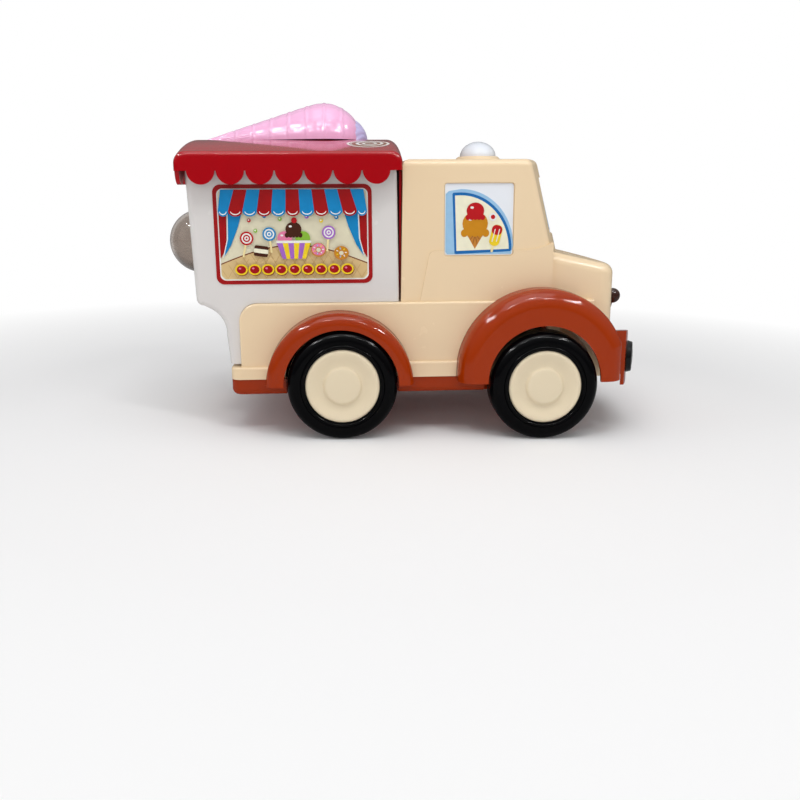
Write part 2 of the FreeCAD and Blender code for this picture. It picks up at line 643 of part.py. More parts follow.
# ---------------------------------------------------------------- chassis
def make_chassis():
    body = new_body("chassis")
    back = S.body_tail_at - S.ledge_back
    front = S.front_axle_x + S.pan_front
    well_y = S.wheel_face_y - S.tyre_width - S.pan_wheel_gap
    upwards(body, S.pan_floor_z, S.sill_z, rectangle(back, front, -S.pan_half, S.pan_half))
    round_edges(body, S.ledge_round, lambda m, e: upright(e) and near(m.x, back))
    round_edges(body, S.pan_edge, lambda m, e: near(m.z, S.pan_floor_z))
    over = S.pan_half + S.wall
    low, high = S.pan_floor_z - S.wall, S.sill_z + S.wall
    for side in (1, -1):
        near_y, far_y = sorted((side * well_y, side * over), key=lambda y: y.number)
        upwards(body, low, high, rectangle(S.rear_axle_x - S.arch_radius,
                                           S.rear_axle_x + S.arch_radius, near_y, far_y), "Pocket")
        upwards(body, low, high, rectangle(S.front_axle_x - S.arch_radius,
                                           front + S.wall, near_y, far_y), "Pocket")
    trough = well_y - S.wall
    upwards(body, S.pan_floor_z + S.wall, high,
            rectangle(back + S.wall, front - S.wall, -trough, trough), "Pocket")
    slot = S.axle_radius + S.motor_clearance
    for axle_x, axle_z, _, _ in (REAR, FRONT):
        across(body, over, rectangle(axle_x - slot, axle_x + slot,
                                     axle_z - slot, high), "Pocket")
    post = S.axle_radius + S.bearing_wall
    bore = S.axle_radius + S.axle_clearance
    for axle_x, axle_z, _, _ in (REAR, FRONT):
        for side in (1, -1):
            sideways(body, side, S.bearing_half, S.bearing_half + S.bearing_width,
                     rectangle(axle_x - post, axle_x + post,
                               S.pan_floor_z + S.wall / 2, axle_z + post),
                     circles=[(axle_x, axle_z, bore)])
    return body


def make_bumper():
    body = new_body("bumper")
    bend, half, wall = S.nose_bend, S.bumper_half, S.wall
    back_at = S.nose_at + S.seat_gap
    top = S.bumper_z + S.bumper_height
    dip, slope = S.bumper_dip_half, S.bumper_dip_slope
    upwards(body, S.bumper_z, top,
            [(nose_arc(back_at, half), -half, -bend), (nose_arc(S.bumper_at, half), -half),
             (nose_arc(S.bumper_at, half), half, bend), (nose_arc(back_at, half), half)])
    beyond, brow = half + wall, top - S.bumper_lobe_drop
    lengthwise(body, S.front_axle_x, S.bumper_at + wall, [
        (-dip, top - S.bumper_dip), (dip, top - S.bumper_dip), (dip + slope, brow),
        (beyond, top), (beyond, top + wall), (-beyond, top + wall), (-beyond, top),
        (-(dip + slope), brow)], "Pocket")
    front_of = S.nose_at.number + S.bumper_out.number / 2 - S.nose_bend.number
    round_edges(body, S.bumper_round,
                lambda m, e: math.hypot(m.x - front_of + S.bumper_out.number / 2, m.y)
                > S.nose_bend.number + S.bumper_out.number - 0.6 and m.z > S.bumper_z.number + 1)
    inner = half - wall
    behind = nose_arc(S.nose_at, half) - wall
    inside = [(behind, -inner), (nose_arc(S.bumper_at - wall, inner), -inner),
              (nose_arc(S.bumper_at - wall, inner), inner, bend), (behind, inner)]
    upwards(body, S.bumper_z - wall, top - S.bumper_dip - wall, inside, "Pocket")
    upwards(body, S.bumper_z - wall, S.bumper_end_z,
            [(behind, -beyond), (nose_arc(S.bumper_at - wall, beyond), -beyond),
             (nose_arc(S.bumper_at - wall, beyond), beyond, bend), (behind, beyond)], "Pocket")
    for side in (1, -1):
        near_y, far_y = sorted((side * (dip + slope), side * inner), key=lambda y: y.number)
        upwards(body, S.bumper_z, brow - wall,
                [(behind, near_y), (nose_arc(S.bumper_at - wall, near_y), near_y),
                 (nose_arc(S.bumper_at - wall, far_y), far_y), (behind, far_y)], "Pocket")
    return body


# ---------------------------------------------------------------- cargo box and its roof
def make_cargo_box():
    body = new_body("cargo_box")
    gap, deck = S.seat_gap, S.deck_z
    floor_z = deck + gap
    tail, front = S.box_tail_at, S.box_front_x
    rear = S.rear_axle_x
    body_tail = S.body_tail_at - gap
    heel = S.apron_heel
    across(body, S.box_half, [
        (front, floor_z),
        (front - S.box_front_lean, S.box_top_z),
        (tail - S.box_lean, S.box_top_z),
        (tail, deck - S.apron_step + heel),
        (tail + heel, deck - S.apron_step, heel),
        (rear - S.apron_top_x, deck - S.apron_top_drop),
        (rear - S.apron_waist_x, deck - S.apron_waist_drop, -S.apron_bend),
        (rear - S.apron_foot_x, S.apron_foot_z),
        (body_tail, S.apron_foot_z),
        (body_tail, deck - S.tail_round),
        (body_tail + S.tail_round, floor_z, -(S.tail_round + gap)),
    ])
    round_edges(body, S.box_corner,
                lambda m, e: near(abs(m.y), S.box_half) and m.x < body_tail.number - 1
                and not near(m.z, S.apron_foot_z) and not near(m.z, S.box_top_z))
    round_edges(body, S.box_front_corner,
                lambda m, e: near(abs(m.y), S.box_half) and near(m.x, front - S.box_front_lean / 2, 0.3))
    inner_tail, inner_front = tail + S.wall, front - S.box_front_lean - S.wall
    across(body, S.box_half - S.wall, [
        (inner_front, deck - S.wall), (inner_front, S.box_top_z + S.wall),
        (inner_tail - S.box_lean, S.box_top_z + S.wall), (inner_tail, deck),
        (body_tail + S.tail_round, deck), (body_tail + S.tail_round, deck - S.wall)], "Pocket")
    return body


def camber_outline(half, low, edge):
    """Cross-section of the box's roof (y, z): straight sides, arched top."""
    return [(-half, low), (half, low), (half, edge), (-half, edge, S.camber_radius)]


def lengthwise(body, back, front, corners, kind="Pad", circles=()):
    """Front view outline (y, z) taken along the truck from back to front."""
    sketch = new_sketch(body, "YZ_Plane", back)
    if corners:
        draw(sketch, corners)
    for circle in circles:
        draw_circle(sketch, *circle)
    return feature(body, kind, sketch, size(front) - back, backwards=kind == "Pocket")


def make_box_roof():
    body = new_body("box_roof")
    back, front, wall = S.lid_back_at, S.lid_front_x, S.wall
    lengthwise(body, back, front, camber_outline(S.lid_half, S.lid_skirt_z, S.lid_edge_z))
    low = S.lid_edge_z.number - 0.5
    round_edges(body, S.lid_round,
                lambda m, e: (near(m.x, back) or near(m.x, front)) and m.z > low and near(m.y, 0))
    round_edges(body, S.lid_side_round,
                lambda m, e: near(abs(m.y), S.lid_half) and m.z > S.lid_skirt_z.number + 1)
    lengthwise(body, back + wall, front - wall,
               camber_outline(S.lid_half - wall, S.lid_skirt_z - wall, S.lid_edge_z - wall), "Pocket")
    lobe_z = S.lid_skirt_z + S.lobe_rise
    middle = (back + front) / 2
    for side in (1, -1):
        sideways(body, side, S.lid_half - wall, S.lid_half,
                 circles=[(middle + (n - (LOBES_ALONG - 1) / 2) * S.lobe_pitch, lobe_z,
                           S.lobe_radius) for n in range(LOBES_ALONG)])
    lengthwise(body, back, back + wall, [],
               circles=[((n - (LOBES_ACROSS - 1) / 2) * S.lobe_pitch_across, lobe_z,
                         S.lobe_radius) for n in range(LOBES_ACROSS)])
    return body


# ---------------------------------------------------------------- round pieces
def turned(label, corners, axis="H_Axis", kind="Revolution", body=None):
    """An outline turned about its own x axis (H_Axis) or y axis (V_Axis)."""
    body = body or new_body(label)
    sketch = new_sketch(body, "XY_Plane", 0)
    draw(sketch, corners)
    item = body.newObject("PartDesign::" + kind, f"{label}_{kind.lower()}")
    item.Profile = sketch
    item.ReferenceAxis = (sketch, [axis])
    item.Angle = 360
    doc.recompute()
    return body


def place(thing, x, y, z, rotation=None):
    bind(thing, "Placement.Base.x", x)
    bind(thing, "Placement.Base.y", y)
    bind(thing, "Placement.Base.z", z)
    if rotation:
        thing.Placement.Rotation = rotation
    return thing


def camber_cutter():
    """Everything under the box's roof, for pieces that stand on the roof."""
    tool = doc.addObject("Part::Cylinder", "under_the_roof")
    bind(tool, "Radius", S.camber_radius + S.seat_gap / 2)
    bind(tool, "Height", S.cab_back_x - S.lid_back_at)
    place(tool, S.lid_back_at, 0, S.crest_z - S.camber_radius,
          FreeCAD.Rotation(V(0, 1, 0), 90))
    return tool


def cut(label, base, tool):
    item = doc.addObject("Part::Cut", label)
    item.Label = label
    item.Base = base
    item.Tool = tool
    return item


def make_cone():
    length, widest, mouth = S.cone_length, S.cone_radius, S.cone_mouth
    wall, tip = S.wall, S.cone_tip
    end = length + mouth
    whole = turned("cone_whole", [
        (0, 0, tip), (end, 0), (end, S.cone_mouth_radius), (length, widest, widest), (tip, tip)])
    turned("cone_whole", [
        (tip + 3 * wall, 0), (end + wall, 0), (end + wall, S.cone_mouth_radius - wall),
        (end, S.cone_mouth_radius - wall), (length, widest - wall, widest - wall)],
        kind="Groove", body=whole)
    tip_x = S.rear_axle_x - S.cone_tip_x
    place(whole, tip_x, 0, S.cone_axis_z, FreeCAD.Rotation(V(1, 0, 0), 90))
    return cut("cone", whole, camber_cutter())


def make_scoop():
    radius, mouth = S.scoop_radius, S.cone_mouth_radius
    behind = root(radius * radius - mouth * mouth)
    whole = turned("scoop_whole", [(behind, 0), (radius, 0), (behind, mouth, radius)])
    mouth_x = S.rear_axle_x - S.cone_tip_x + S.cone_length + S.cone_mouth
    place(whole, mouth_x - behind, 0, S.cone_axis_z, FreeCAD.Rotation(V(1, 0, 0), 90))
    return cut("scoop", whole, camber_cutter())


def make_roof_lamp():
    lamp = doc.addObject("Part::Ellipsoid", "roof_lamp")
    lamp.Label = "roof_lamp"
    bind(lamp, "Radius1", S.lamp_height)
    bind(lamp, "Radius2", S.lamp_half_x)
    bind(lamp, "Radius3", S.lamp_half_y)
    lamp.Angle1 = 0
    return place(lamp, S.front_axle_x - S.lamp_back, 0, S.roof_z + S.collar_height)


def make_rear_dome():
    radius, skirt, wall = S.bubble_radius, S.bubble_skirt, S.bubble_wall
    flange, thin = radius + S.bubble_flange, S.bubble_flange_depth
    dome = turned("rear_dome", [
        (0, radius - wall), (skirt, radius - wall), (skirt + radius - wall, 0, -(radius - wall)),
        (skirt + radius, 0), (skirt, radius, radius), (thin, radius), (thin, flange), (0, flange)])
    slope = S.box_lean / (S.box_top_z - S.deck_z)
    lean = math.degrees(math.atan(slope.number))
    gap = S.seat_gap
    return place(dome, S.box_tail_at - slope * (S.bubble_z - S.deck_z) - gap, 0, S.bubble_z,
                 FreeCAD.Rotation(V(0, 1, 0), 180 - lean))


def make_headlamps():
    """Discs square to the curved bumper."""
    bend = S.nose_bend
    reach = bend + S.seat_gap
    for side, hand in ((1, "left"), (-1, "right")):
        lamp = doc.addObject("Part::Cone", f"headlamp_{hand}")
        lamp.Label = f"headlamp_{hand}"
        bind(lamp, "Radius1", S.headlamp_radius)
        bind(lamp, "Radius2", S.headlamp_radius - S.headlamp_taper)
        bind(lamp, "Height", S.headlamp_depth)
        turn = math.degrees(math.asin(S.headlamp_y.number / bend.number))
        ahead = root(bend * bend - S.headlamp_y * S.headlamp_y) / bend
        place(lamp, S.bumper_at - bend + reach * ahead, side * S.headlamp_y * reach / bend,
              S.headlamp_z, FreeCAD.Rotation(V(0, 0, 1), side * turn)
              * FreeCAD.Rotation(V(0, 1, 0), 90))


def make_grille_bar():
    """Two bent bars with a knob at each end, laid on the curved nose."""
    bar, knob = S.grille_bar.number, S.grille_knob.number
    half, z, bend = S.grille_half.number, S.grille_z.number, S.nose_bend.number
    centre = S.nose_at.number - bend
    turn = math.asin(half / bend)

    def ahead(out, side):
        return V(centre + (bend + out) * math.cos(turn), side * (bend + out) * math.sin(turn), z)

    ends = [ahead(S.grille_bar_out.number, side) for side in (-1, 1)]
    middle_x = S.nose_at.number + S.grille_bar_out.number
    shape = None
    for sag in (S.grille_sag_top.number, S.grille_sag_low.number):
        arc = Part.Arc(ends[0], V(middle_x, 0, z - sag), ends[1])
        path = Part.Wire([arc.toShape()])
        ring = Part.Circle(ends[0], arc.tangent(arc.FirstParameter)[0], bar)
        tube = path.makePipeShell([Part.Wire([ring.toShape()])], True, False)
        shape = shape.fuse(tube) if shape else tube
    for side in (-1, 1):
        shape = shape.fuse(Part.makeSphere(knob, ahead(S.grille_knob_out.number, side)))
    nose = Part.makeCylinder(bend + S.seat_gap.number, 6 * half, V(centre, 0, z - 3 * half))
    item = doc.addObject("Part::Feature", "grille_bar")
    item.Label = "grille_bar"
    item.Shape = shape.cut(nose)
    return item


# ---------------------------------------------------------------- stickers
def make_stickers():
    thick = S.sticker_thickness
    front = S.box_front_x - S.sticker_front
    back = S.front_axle_x - S.window_back
    inset = S.window_inset
    for side, hand in ((1, "left"), (-1, "right")):
        sideways(new_body(f"side_sticker_{hand}"), side, S.box_half, S.box_half + thick,
                 rounded(front - S.sticker_length, front, S.sticker_z,
                         S.sticker_z + S.sticker_height, S.sticker_corner))
        sideways(new_body(f"window_sticker_{hand}"), side, S.window_plane_y,
                 S.window_plane_y + thick,
                 rounded(back + inset, back + S.window_width - inset, S.window_z + inset,
                         S.window_z + S.window_height - inset, S.window_corner - inset))


# ---------------------------------------------------------------- wheels and motor
def make_wheels():
    radius, width, round_off = S.tyre_radius, S.tyre_width, S.tyre_shoulder
    seat, skin, rim, boss = S.hub_radius, S.hub_skin, S.hub_edge, S.boss_radius
    tyre = [(seat, -width), (radius - round_off, -width), (radius, -(width - round_off), round_off),
            (radius, -round_off), (radius - round_off, 0, round_off), (seat, 0)]
    hub = [(0, -skin), (S.axle_radius, -skin), (S.axle_radius, -width), (boss, -width),
           (boss, -skin), (seat - skin, -skin), (seat - skin, -width), (seat, -width),
           (seat, -rim), (seat - rim, 0, rim), (S.disc_radius + S.disc_slope, -S.hub_dish),
           (S.disc_radius, 0), (0, 0)]
    for end, axle_x in (("front", S.front_axle_x), ("rear", S.rear_axle_x)):
        for side, hand in ((1, "left"), (-1, "right")):
            turn = FreeCAD.Rotation(V(0, 0, 1), 0 if side == 1 else 180)
            for name, outline in (("tyre", tyre), ("hub", hub)):
                place(turned(f"{name}_{end}_{hand}", outline, "V_Axis"),
                      axle_x, side * S.wheel_face_y, S.axle_z, turn)
        axle = doc.addObject("Part::Cylinder", f"axle_{end}")
        axle.Label = f"axle_{end}"
        bind(axle, "Radius", S.axle_radius)
        bind(axle, "Height", 2 * (S.wheel_face_y - skin))
        place(axle, axle_x, S.wheel_face_y - skin, S.axle_z, FreeCAD.Rotation(V(1, 0, 0), 90))


def make_friction_motor():
    case = doc.addObject("Part::Box", "motor_case")
    bind(case, "Length", S.motor_length)
    bind(case, "Width", 2 * S.motor_half)
    bind(case, "Height", S.motor_height)
    place(case, S.rear_axle_x - S.motor_length / 2, -S.motor_half, S.pan_floor_z + S.wall)
    bore = doc.addObject("Part::Cylinder", "motor_bore")
    bind(bore, "Radius", S.axle_radius + S.motor_clearance)
    bind(bore, "Height", 4 * S.motor_half)
    place(bore, S.rear_axle_x, 2 * S.motor_half, S.rear_hole_z, FreeCAD.Rotation(V(1, 0, 0), 90))
    return cut("friction_motor", case, bore)


# ---------------------------------------------------------------- build and write
def on_its_wheels(piece):
    """The truck leans back a little on its level wheels."""
    shape = piece.Shape.copy()
    if piece.Label.startswith(("tyre_", "hub_", "axle_")):
        return shape
    drop, base = S.stance_drop.number, S.wheelbase.number
    lean = FreeCAD.Rotation(V(0, 1, 0), -math.degrees(math.asin(drop / base)))
    middle = V(S.front_axle_x.number - base / 2, 0, S.axle_z.number)
    shape.Placement = FreeCAD.Placement(V(), lean, middle).multiply(shape.Placement)
    return shape


def write_parts():
    doc.recompute()
    failed = [o.Label for o in doc.Objects if "Invalid" in o.State or "Error" in o.State]
    if failed:
        raise RuntimeError(f"failed: {failed}")
    used = {o.Name for cutting in doc.Objects if cutting.TypeId == "Part::Cut"
            for o in (cutting.Base, cutting.Tool)}
    os.makedirs("parts", exist_ok=True)
    for piece in doc.Objects:
        kind = piece.TypeId
        if piece.Name in used or not (kind.startswith("Part::") or kind == "PartDesign::Body"):
            continue
        shape = on_its_wheels(piece)
        if shape.isNull() or not shape.isValid() or len(shape.Solids) != 1:
            raise RuntimeError(f"{piece.Label} is not one sound solid")
        shape.exportStep(f"parts/{piece.Label}.step")
        box = shape.BoundBox
        print(f"{piece.Label:26s} {shape.Volume / 1000:7.2f} cm3  "
              f"x {box.XMin:7.1f} {box.XMax:7.1f}  y {box.YMin:6.1f} {box.YMax:6.1f}  "
              f"z {box.ZMin:6.1f} {box.ZMax:6.1f}")


make_body_shell()
make_chassis()
make_bumper()
make_arches()
make_cargo_box()
make_box_roof()
make_cone()
make_scoop()
make_roof_lamp()
make_rear_dome()
make_headlamps()
make_grille_bar()
make_stickers()
make_wheels()
make_friction_motor()
write_parts()
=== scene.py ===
# %% [markdown]
# # A toy ice cream truck
# The solids of the truck come from a CAD model and are the fixed frame of this
# lesson.  We light it, give each plastic its own finish, and add what a moulding
# shop or a print shop would: waffle relief, printed films and screws.

# %% Load the frame
import math

import bmesh
import bpy
from mathutils import Matrix, Vector


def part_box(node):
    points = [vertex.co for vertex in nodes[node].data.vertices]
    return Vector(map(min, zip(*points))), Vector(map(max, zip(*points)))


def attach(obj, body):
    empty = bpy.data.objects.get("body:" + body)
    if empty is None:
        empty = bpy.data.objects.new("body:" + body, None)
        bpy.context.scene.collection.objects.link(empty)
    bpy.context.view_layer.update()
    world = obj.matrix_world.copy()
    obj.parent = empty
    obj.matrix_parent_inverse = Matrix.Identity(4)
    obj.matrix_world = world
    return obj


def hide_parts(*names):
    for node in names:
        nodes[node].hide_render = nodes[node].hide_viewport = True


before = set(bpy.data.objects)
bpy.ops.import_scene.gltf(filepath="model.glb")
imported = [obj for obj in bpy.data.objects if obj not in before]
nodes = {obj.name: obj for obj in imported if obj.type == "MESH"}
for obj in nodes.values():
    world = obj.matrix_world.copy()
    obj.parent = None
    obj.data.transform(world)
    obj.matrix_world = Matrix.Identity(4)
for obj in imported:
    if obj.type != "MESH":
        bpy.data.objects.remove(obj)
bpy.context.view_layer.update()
MM = 0.001

# %% [markdown]
# ## Camera
# A toy is shown from about half a metre away with a slightly long lens.  We set
# the place, then turn the camera by three angles: tilt, heading and roll.

# %% Camera
lens = bpy.data.cameras.new("product_camera")
lens.lens = 39.25
lens.sensor_width = 36
camera = bpy.data.objects.new("product_camera", lens)
bpy.context.scene.collection.objects.link(camera)
heading = Matrix.Rotation(math.radians(-3.93), 4, "Z")
tilt = Matrix.Rotation(math.radians(90 - 13.87), 4, "X")
roll = Matrix.Rotation(math.radians(0.97), 4, "Z")
stand = Matrix.Translation(Vector((-32.7, -487.1, 124.3)) * MM)
camera.matrix_world = stand @ heading @ tilt @ roll
bpy.context.scene.camera = camera
print("camera:", [round(v / MM) for v in camera.matrix_world.translation], "mm")

# %% [markdown]
# ## Colours
# Colours are written as a paint chart writes them, in hexadecimal.  The shader
# wants linear light, so each channel is converted once.

# %% Colours
def colour(code):
    """A hexadecimal colour as linear red, green, blue and alpha."""
    channels = [int(code[i:i + 2], 16) / 255 for i in (1, 3, 5)]
    return [c / 12.92 if c <= 0.04045 else ((c + 0.055) / 1.055) ** 2.4 for c in channels] + [1]


# %% [markdown]
# ## Light
# A ceiling of soft light with a few narrow tubes: the tubes are what draws the
# short bright streaks on glossy plastic, and those further out only show as such
# streaks.  The world is white where the camera or clear plastic looks at it.
# Reflections see a room that is dim at eye level and brighter overhead, so that
# dark plastic stays deep.  All else sees a plain grey.

# %% Lamps and world
def soft_lamp(name, place, aim, width, length, watts, mirrored=True):
    """A rectangular lamp at place, shining at aim, both in millimetres."""
    data = bpy.data.lights.new(name, "AREA")
    data.shape = "RECTANGLE"
    data.size, data.size_y = width * MM, length * MM
    data.energy = watts
    lamp = bpy.data.objects.new(name, data)
    bpy.context.scene.collection.objects.link(lamp)
    turn = (Vector(aim) - Vector(place)).to_track_quat("-Z", "Y").to_matrix().to_4x4()
    lamp.matrix_world = Matrix.Translation(Vector(place) * MM) @ turn
    lamp.visible_glossy = mirrored
    return lamp


def only_mirrored(lamp):
    """Makes a lamp that shows in glossy surfaces seen directly and lights nothing else."""
    lamp.visible_diffuse = False
    lamp.data.use_nodes = True
    tree = lamp.data.node_tree
    path = tree.nodes.new("ShaderNodeLightPath")
    direct = tree.nodes.new("ShaderNodeMath")
    direct.operation = "LESS_THAN"
    direct.inputs[1].default_value = 0.5
    tree.links.new(path.outputs["Diffuse Depth"], direct.inputs[0])
    tree.links.new(direct.outputs[0], tree.nodes["Emission"].inputs["Strength"])


MIDDLE = (0, 0, 60)
WAIST = (0, 0, 70)
soft_lamp("ceiling", (-60, -250, 1100), MIDDLE, 900, 900, 4.1)
soft_lamp("front_fill", (-150, -1150, 350), WAIST, 900, 600, 1.6, mirrored=False)
soft_lamp("nose_fill", (900, -300, 350), WAIST, 500, 500, 0.9, mirrored=False)
soft_lamp("tail_fill", (-900, -200, 350), WAIST, 500, 500, 0.9, mirrored=False)
for number, (x, y) in enumerate(((-160, -420), (60, -300), (230, -420))):
    soft_lamp(f"tube_{number}", (x, y, 620), (x, 0, 60), 120, 9, 0.32)
far_places = [(side * x, y) for side in (-1, 1) for x, y in ((480, -380), (440, -280), (500, -170))]
for number, (x, y) in enumerate(far_places):
    only_mirrored(soft_lamp(f"far_tube_{number}", (x, y, 600), MIDDLE, 260, 5, 0.75))

world = bpy.data.worlds.new("studio")
world.use_nodes = True
bpy.context.scene.world = world
tree = world.node_tree
tree.nodes.clear()
way = tree.nodes.new("ShaderNodeTexCoord")
split = tree.nodes.new("ShaderNodeSeparateXYZ")
room = tree.nodes.new("ShaderNodeMapRange")
room.inputs["From Min"].default_value = 0.0
room.inputs["From Max"].default_value = 0.9
room.inputs["To Min"].default_value = 0.10
room.inputs["To Max"].default_value = 0.75
path = tree.nodes.new("ShaderNodeLightPath")
clear_or_camera = tree.nodes.new("ShaderNodeMath")
clear_or_camera.operation = "MAXIMUM"
plain = tree.nodes.new("ShaderNodeBackground")
plain.inputs["Color"].default_value = (0.76, 0.76, 0.77, 1)
plain.inputs["Strength"].default_value = 0.55
reflected = tree.nodes.new("ShaderNodeBackground")
white = tree.nodes.new("ShaderNodeBackground")
white.inputs["Color"].default_value = (1, 1, 1, 1)
white.inputs["Strength"].default_value = 1
by_gloss = tree.nodes.new("ShaderNodeMixShader")
by_sight = tree.nodes.new("ShaderNodeMixShader")
out = tree.nodes.new("ShaderNodeOutputWorld")
tree.links.new(way.outputs["Generated"], split.inputs[0])
tree.links.new(split.outputs["Z"], room.inputs["Value"])
tree.links.new(room.outputs[0], reflected.inputs["Strength"])
tree.links.new(path.outputs["Is Glossy Ray"], by_gloss.inputs[0])
tree.links.new(plain.outputs[0], by_gloss.inputs[1])
tree.links.new(reflected.outputs[0], by_gloss.inputs[2])
tree.links.new(path.outputs["Is Camera Ray"], clear_or_camera.inputs[0])
tree.links.new(path.outputs["Is Transmission Ray"], clear_or_camera.inputs[1])
tree.links.new(clear_or_camera.outputs[0], by_sight.inputs[0])
tree.links.new(by_gloss.outputs[0], by_sight.inputs[1])
tree.links.new(white.outputs[0], by_sight.inputs[2])
tree.links.new(by_sight.outputs[0], out.inputs["Surface"])
bpy.context.scene.view_settings.view_transform = "Standard"
print("light:", len(bpy.data.lights), "lamps")

# %% [markdown]
# ## Floor
# A pale sheet under the toy.  It keeps the toy's shadow near the wheels and turns
# into plain white further out, so that no horizon shows.  Glossy plastic sees it
# in a deeper tone, so that low, dark pieces aren't washed out by it.

# %% Floor
def new_material(name):
    """An empty node material and the pieces needed to fill it."""
    material = bpy.data.materials.new(name)
    material.use_nodes = True
    tree = material.node_tree
    tree.nodes.clear()
    return material, tree, tree.nodes.new("ShaderNodeOutputMaterial")


def add(tree, kind, **values):
    """A shader node with some of its settings or sockets filled in."""
    node = tree.nodes.new("ShaderNode" + kind)
    for key, value in values.items():
        if hasattr(node, key):
            setattr(node, key, value)
        else:
            node.inputs[key.replace("_", " ")].default_value = value
    return node


CRISP = math.radians(38)


def new_object(name, bm, material=None, smooth=True):
    """Turns a finished bmesh into an object at the origin; its sharp edges stay crisp."""
    mesh = bpy.data.meshes.new(name)
    for face in bm.faces:
        face.smooth = smooth
    for edge in bm.edges:
        edge.smooth = edge.calc_face_angle(0) < CRISP
    bm.to_mesh(mesh)
    bm.free()
    thing = bpy.data.objects.new(name, mesh)
    bpy.context.scene.collection.objects.link(thing)
    if material:
        mesh.materials.append(material)
    return thing


paper, tree, out = new_material("pale_paper")
coords = add(tree, "TexCoord")
away = add(tree, "VectorMath", operation="LENGTH")
fade = add(tree, "MapRange")
fade.inputs["From Min"].default_value = 0.24
fade.inputs["From Max"].default_value = 0.5
sheet = add(tree, "BsdfDiffuse")
mirrored_tone = add(tree, "MapRange")
mirrored_tone.inputs["To Min"].default_value = 0.93
mirrored_tone.inputs["To Max"].default_value = 0.40
glow = add(tree, "Emission", Color=(1, 1, 1, 1), Strength=1.0)
path = add(tree, "LightPath")
looked_at = add(tree, "Math", operation="MAXIMUM")
far_white = add(tree, "Math", operation="MULTIPLY")
blend = add(tree, "MixShader")
tree.links.new(coords.outputs["Object"], away.inputs[0])
tree.links.new(away.outputs["Value"], fade.inputs["Value"])
tree.links.new(path.outputs["Is Camera Ray"], looked_at.inputs[0])
tree.links.new(path.outputs["Is Transmission Ray"], looked_at.inputs[1])
tree.links.new(path.outputs["Is Glossy Ray"], mirrored_tone.inputs["Value"])
tree.links.new(mirrored_tone.outputs[0], sheet.inputs["Color"])
tree.links.new(fade.outputs[0], far_white.inputs[0])
tree.links.new(looked_at.outputs[0], far_white.inputs[1])
tree.links.new(far_white.outputs[0], blend.inputs[0])
tree.links.new(sheet.outputs[0], blend.inputs[1])
tree.links.new(glow.outputs[0], blend.inputs[2])
tree.links.new(blend.outputs[0], out.inputs["Surface"])
bm = bmesh.new()
FLOOR_RADIUS = 3.0
bmesh.ops.create_circle(bm, cap_ends=True, segments=96, radius=FLOOR_RADIUS)
floor = new_object("floor", bm, paper)

# %% [markdown]
# ## Moulded plastic
# Every shell of the toy is injection moulded.  Such plastic is never quite even:
# its colour drifts a little, its gloss changes where it shrank in the mould, and
# the surface has a very fine orange peel.  One helper makes that, and each colour
# of plastic is one call.

# %% Moulded plastic
def moulded(name, shade, deep, roughness, shine=0.4, coat=0.0, edge=1.0):
    """Plastic whose colour drifts from shade to deep, with gloss and fine peel.

    Where the surface is seen edge-on, its reflection is weakened to the share edge.
    """
    material, tree, out = new_material(name)
    coords = add(tree, "TexCoord")
    drift = add(tree, "TexNoise", Scale=9.0, Detail=2.0)
    ramp = add(tree, "ValToRGB")
    ramp.color_ramp.elements[0].position = 0.05
    ramp.color_ramp.elements[0].color = colour(deep)
    ramp.color_ramp.elements[1].position = 0.95
    ramp.color_ramp.elements[1].color = colour(shade)
    worn = add(tree, "TexNoise", Scale=60.0, Detail=3.0)
    gloss = add(tree, "MapRange")
    gloss.inputs["To Min"].default_value = roughness * 0.85
    gloss.inputs["To Max"].default_value = roughness * 1.15
    skin = add(tree, "TexNoise", Scale=1500.0, Detail=1.0)
    bump = add(tree, "Bump", Strength=0.02, Distance=0.0002)
    shader = add(tree, "BsdfPrincipled")
    shader.inputs["Coat Roughness"].default_value = 0.03
    facing = add(tree, "LayerWeight", Blend=0.5)
    for socket, full in (("Specular IOR Level", shine), ("Coat Weight", coat)):
        level = add(tree, "MapRange")
        level.inputs["From Min"].default_value = 0.4
        level.inputs["From Max"].default_value = 0.75
        level.inputs["To Min"].default_value = full
        level.inputs["To Max"].default_value = full * edge
        tree.links.new(facing.outputs["Facing"], level.inputs["Value"])
        tree.links.new(level.outputs[0], shader.inputs[socket])
    for texture in (drift, worn, skin):
        tree.links.new(coords.outputs["Object"], texture.inputs["Vector"])
    tree.links.new(drift.outputs["Fac"], ramp.inputs["Fac"])
    tree.links.new(ramp.outputs["Color"], shader.inputs["Base Color"])
    tree.links.new(worn.outputs["Fac"], gloss.inputs["Value"])
    tree.links.new(gloss.outputs[0], shader.inputs["Roughness"])
    tree.links.new(skin.outputs["Fac"], bump.inputs["Height"])
    tree.links.new(bump.outputs["Normal"], shader.inputs["Normal"])
    tree.links.new(shader.outputs[0], out.inputs["Surface"])
    return material


